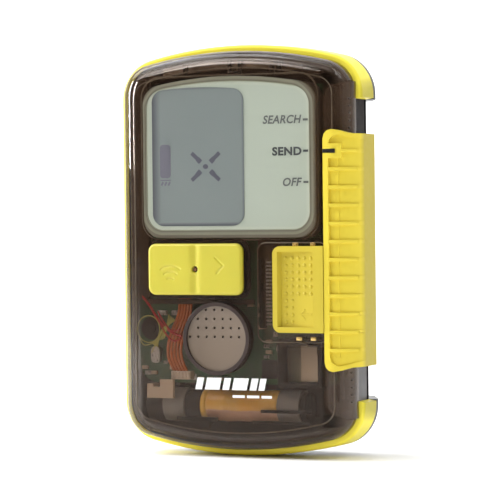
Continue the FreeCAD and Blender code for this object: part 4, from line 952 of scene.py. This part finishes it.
def inner_tray(tray, shelf, lip):
    """The brown moulded tray round the display, the shelf behind the slider, and their raised lines."""
    trays = [
        plate((-33.4, -28.3), (-14.3, 49.6), 1.5, (20.05, 22.4), 0.4),
        plate((-28.2, 26.2), (49.75, 50.6), 0.3, (20.05, 22.4), 0.3),
        plate((5.35, 12.2), (-14.3, 3.5), 0.8, (20.02, 20.5), 0.2),
        plate((-28.2, 5.3), (-15.4, -13.95), 0.5, (22.9, 23.3), 0.2),
    ]
    piece("display_tray", *join_meshes(*trays), tray, "black_plastic")
    side = plate((26.3, 33.4), (-24.0, 49.0), 1.0, (20.05, 20.9), 0.3)
    rail = plate((31.2, 31.9), (-42.0, 46.0), 0.3, (21.0, 22.6), 0.2)
    piece("side_shelf", *join_meshes(side, rail), shelf, "black_plastic")
    lines = [
        bead(lambda inset: rounded_outline((-29.3, 26.4), (2.9, 50.2), 6.0, inset, 8), 25.2, 0.5, 0.3),
        bead(lambda inset: case_outline(6.9 + inset), 26.2, 0.35, 0.2),
        bead(lambda inset: rounded_outline((7.6, 29.4), (-26.0, 2.4), 2.6, inset), 26.3, 0.35, 0.2),
    ]
    piece("inner_lines", *join_meshes(*lines), lip, "smoked_clear")


def square_coil(black, inlay):
    """The upright coil's square frame, what shows inside it, and the bracket at its top right corner."""
    outer = ((13.0, 26.8), (-38.7, -25.0), 1.0)
    outside, sloped = rounded_outline(*outer), rounded_outline(*outer, 0.35)
    window = rounded_outline((14.5, 25.3), (-37.4, -26.5), 0.6)
    rings = ((outside, 20.1), (outside, 24.7), (sloped, 25.0), (window, 24.6), (window, 20.6))
    vertices = [(x, forward, z) for ring, forward in rings for x, z in ring]
    faces = loft(len(rings), len(outside))
    piece("square_frame", vertices, faces, black, "black_plastic", stands_for=["depth_antenna_frame"])
    panel = plate((14.6, 25.2), (-37.3, -26.6), 0.5, (20.3, 21.2))
    step = plate((19.2, 25.1), (-37.2, -26.7), 0.5, (21.2, 22.6), 0.3)
    piece("square_inlay", *join_meshes(panel, step), inlay, "winding_amber",
          stands_for=["depth_antenna_winding", "depth_antenna_core"])
    bracket = [
        block((22.6, 26.2), (25.02, 25.3), (-27.0, -26.2), 0.3),
        block((25.4, 26.2), (25.02, 25.3), (-29.4, -26.6), 0.3),
    ]
    piece("frame_bracket", *join_meshes(*bracket), black, "black_plastic")


def long_coil(tape):
    """The long antenna's taped coil, with slight waves where the turns pile up."""
    profile = [(-12.6, 3.62), (-12.6, 4.5), (-12.4, 4.75), (-10.9, 4.75), (-10.8, 4.5)]
    for step in range(41):
        along = -10.7 + 22.1 * step / 40
        profile.append((along, 4.58 + 0.07 * math.sin(along * 0.9) + 0.04 * math.sin(along * 2.3 + 1)))
    profile += [(11.6, 4.45), (11.65, 3.62)]
    coil = revolved(profile, (0, 18.0, -44.7), "X")
    piece("taped_coil", *coil, tape, "winding_amber", stands_for=["long_antenna_winding"])


# The thumb ramp on the lock tab: where it ends, how far forward it is there, and its slope.
RAMP_END = 25.9
RAMP_END_FORWARD = 28.65
RAMP_SLOPE = 0.104


def lock_bumps(material):
    """Round bumps on the lock tab's thumb ramp: six rows of five, then four of two."""
    left, top, pitch, radius, sunk = 17.25, -2.1, 1.98, 0.58, 0.16
    turns = [k * math.pi / 12 for k in range(7)]
    dome = [(radius * math.sin(turn), radius * math.cos(turn)) for turn in turns]
    bumps = []
    for row in range(10):
        for column in range(5 if row < 6 else 2):
            x = left + pitch * column
            forward = RAMP_END_FORWARD - sunk - RAMP_SLOPE * (RAMP_END - x)
            bumps.append(revolved(dome, (x, forward, top - pitch * row), "Y", 14))
    piece("lock_bumps", *join_meshes(*bumps), material, "slider_yellow", "lock")


# The slider's rolled edge: the middle of its curve and its radius.
SLIDER_ARC_X, SLIDER_ARC_FORWARD = 30.35, 20.75
SLIDER_RADIUS = 8.0


def slider_ribs(material):
    """The thumb ribs' rounded tops, from the slider's rim round to its side."""
    section = ((-0.52, -0.7), (-0.5, -0.08), (-0.36, 0.05), (0.36, 0.05), (0.5, -0.08), (0.52, -0.7))
    top, pitch, rim, marker_pad, end, spans = 27.75, 5.05, 30.6, 34.2, 37.75, 14
    corners = len(section)
    ribs = []
    for number in range(12):
        start = rim if number else marker_pad
        vertices = []
        for k in range(spans + 1):
            x = start + (end - start) * k / spans
            across = max(x - SLIDER_ARC_X, 0) / SLIDER_RADIUS
            ahead = math.sqrt(1 - across ** 2)
            face = SLIDER_ARC_FORWARD + SLIDER_RADIUS * ahead
            for side, height in section:
                vertices.append((x + across * height, face + ahead * height, top - pitch * number + side))
        faces = [
            (corners * k + i, corners * k + i + 1, corners * (k + 1) + i + 1, corners * (k + 1) + i)
            for k in range(spans) for i in range(corners - 1)
        ]
        first, last = end_caps(spans + 1, corners)
        ribs.append((vertices, faces + [first[::-1], last[::-1]]))
    piece("slider_ribs", *join_meshes(*ribs), material, "slider_yellow", "slider")


def detent_bumps(material):
    """A row of small bumps beyond each end of the slider, that its spring clicks over."""
    reach, angle = 5.47, math.radians(30)
    x, forward = SLIDER_ARC_X + reach * math.cos(angle), SLIDER_ARC_FORWARD + reach * math.sin(angle)
    profile = [(-0.42, 0.02), (-0.36, 0.2), (-0.2, 0.32), (0.0, 0.36), (0.2, 0.32), (0.36, 0.2), (0.42, 0.02)]
    levels = [side * (34.2 + 2.05 * number) for number in range(5) for side in (-1, 1)]
    bumps = [revolved(profile, (x, forward, z), "X", 12) for z in levels]
    piece("detent_bumps", *join_meshes(*bumps), material, "smoked_clear")


make_camera()
make_studio()
make_backdrop()

black_case = moulded("case_black", (0.016, 0.0155, 0.016), 0.34, 7, 0.02, 0.2, 0.15, 0.1)
black_gloss = moulded("black_gloss", (0.012, 0.011, 0.011), 0.32, 5, 0.004, 0.15, 0.1, shine=0.3)
black_rubber = moulded("black_rubber", (0.017, 0.014, 0.013), 0.6, 8, 0.02, 0.1, 0.2, shine=0.3)
ring_brown = moulded("ring_brown", (0.034, 0.020, 0.016), 0.4, 8, 0.01, 0.2, 0.1, shine=0.35)
tray_brown = moulded("tray_brown", (0.062, 0.042, 0.028), 0.4, 5, 0.02, 0.2, 0.25, shine=0.3)
shelf_brown = moulded("shelf_brown", (0.022, 0.012, 0.007), 0.35, 5, 0.02, 0.2, 0.4, shine=0.3)
lip_brown = moulded("lip_brown", (0.20, 0.175, 0.135), 0.35, 5, 0.01, 0.1, 0.15)
# The band's outer side and the slider's rolled side get painted shade in their colour.
band_yellow = moulded("band_yellow", (1.0, 0.86, 0.078), 0.38, 7, 0.006, 0.12, 0.03, shine=0.2,
                      painted_shade=("X", 36.9, 37.8, 0.50))
slider_yellow = moulded("slider_yellow", (0.79, 0.63, 0.060), 0.42, 7, 0.006, 0.06, 0.05, shine=0.15,
                        painted_shade=("Y", -22.8, -20.4, 0.60))
lock_yellow = moulded("lock_yellow", (0.59, 0.465, 0.042), 0.42, 7, 0.006, 0.04, 0.05, shine=0.3)
key_yellow = moulded("key_yellow", (0.55, 0.485, 0.036), 0.46, 9, 0.01, 0.1, 0.05, 0.0, 0.10)
grey_holder = moulded("holder_grey", (0.27, 0.265, 0.25), 0.45, 6, 0.02)
beige = moulded("spacer_beige", (0.60, 0.49, 0.37), 0.5, 6, 0.02)
plug_beige = moulded("connector_beige", (0.74, 0.64, 0.52), 0.45, 6, 0.01)
chip_black = moulded("chip_black", (0.02, 0.02, 0.021), 0.5, 12, 0.02, 0.08)
ferrite = moulded("ferrite", (0.03, 0.028, 0.027), 0.6, 10, 0.03, 0.1, 0.3)
steel = metal("steel", (0.60, 0.59, 0.57), 0.3, (1, 1, 0.2))
gold = metal("gold_contact", (0.86, 0.60, 0.22), 0.28)
speaker_grey = moulded("speaker_grey", (0.170, 0.124, 0.088), 0.42, 10, 0.008, 0.1, 0.08, 0.1)
orange = moulded("ribbon_orange", (0.60, 0.155, 0.025), 0.35, 5, 0.01)
red = moulded("wire_red", (0.50, 0.035, 0.03), 0.35, 5, 0.01)
green = moulded("wire_yellow_green", (0.50, 0.50, 0.12), 0.35, 5, 0.01)

use(smoked_material(), "front_cover")
use(case_material(), "rear_case")
use(black_case, "battery_door", "door_lock")
use(band_yellow, "bumper_band")
use(slider_yellow, "main_slider")
use(lock_yellow, "lock_tab")
use(key_yellow, "double_key")
use(black_gloss, "slider_marker", "key_switches", "speaker_driver", "vibration_motor", "depth_antenna_frame",
    "antenna_clips")
use(black_rubber, "case_seal", "zebra_strip", "door_seal", "antenna_caps")
use(ring_brown, "speaker_ring")
use(speaker_grey, "speaker_grille")
use(display_material(), "lcd_glass", "light_guide")
use(film_material(), "lcd_film")
use(frame_material(), "lcd_frame")
use(board_material(), "main_board")
use(chip_black, "processor_chip", "radio_chip")
use(beige, "chip_capacitors", "top_spacer", "antenna_cradle")
use(plug_beige, "ribbon_connector")
use(grey_holder, "antenna_holders")
use(ferrite, "long_antenna_core", "side_antenna_core", "depth_antenna_core")
use(winding_material("winding_along_z", "Z"), "side_antenna_winding", "depth_antenna_winding")
use(steel, "case_screws", "lanyard_eyelet", "slider_magnets", "lock_spring", "crystal_can", "battery_springs",
    "hinge_pin")
use(gold, "lock_contacts", "battery_contacts")
use(moulded("led_clear", (0.20, 0.085, 0.03), 0.2, 3, 0.002), "status_led")
use(orange, "ribbon_cable")
use(red, "red_wire")
use(green, "coil_leads")
use(moulded("cell_jacket", (0.10, 0.16, 0.12), 0.3, 4, 0.01, 0.1, 0.3, 0.4),
    "battery_cell_1", "battery_cell_2", "battery_cell_3")
tape = tape_material()
use(tape, "long_antenna_winding")

display_marks()
front_print()
double_key_skin(key_yellow, black_rubber)
wiring(orange, red, green, plug_beige)
top_bar(spacer_material())
inside_details(black_gloss, steel)
lock_leaves(gold)
lock_arrow(lock_yellow)
lock_bumps(lock_yellow)
slider_ribs(slider_yellow)
inner_tray(tray_brown, shelf_brown, lip_brown)
square_coil(black_gloss, inlay_material())
long_coil(tape)
detent_bumps(moulded("bump_grey", (0.055, 0.048, 0.046), 0.4, 5, 0.004, 0.1, shine=0.3))
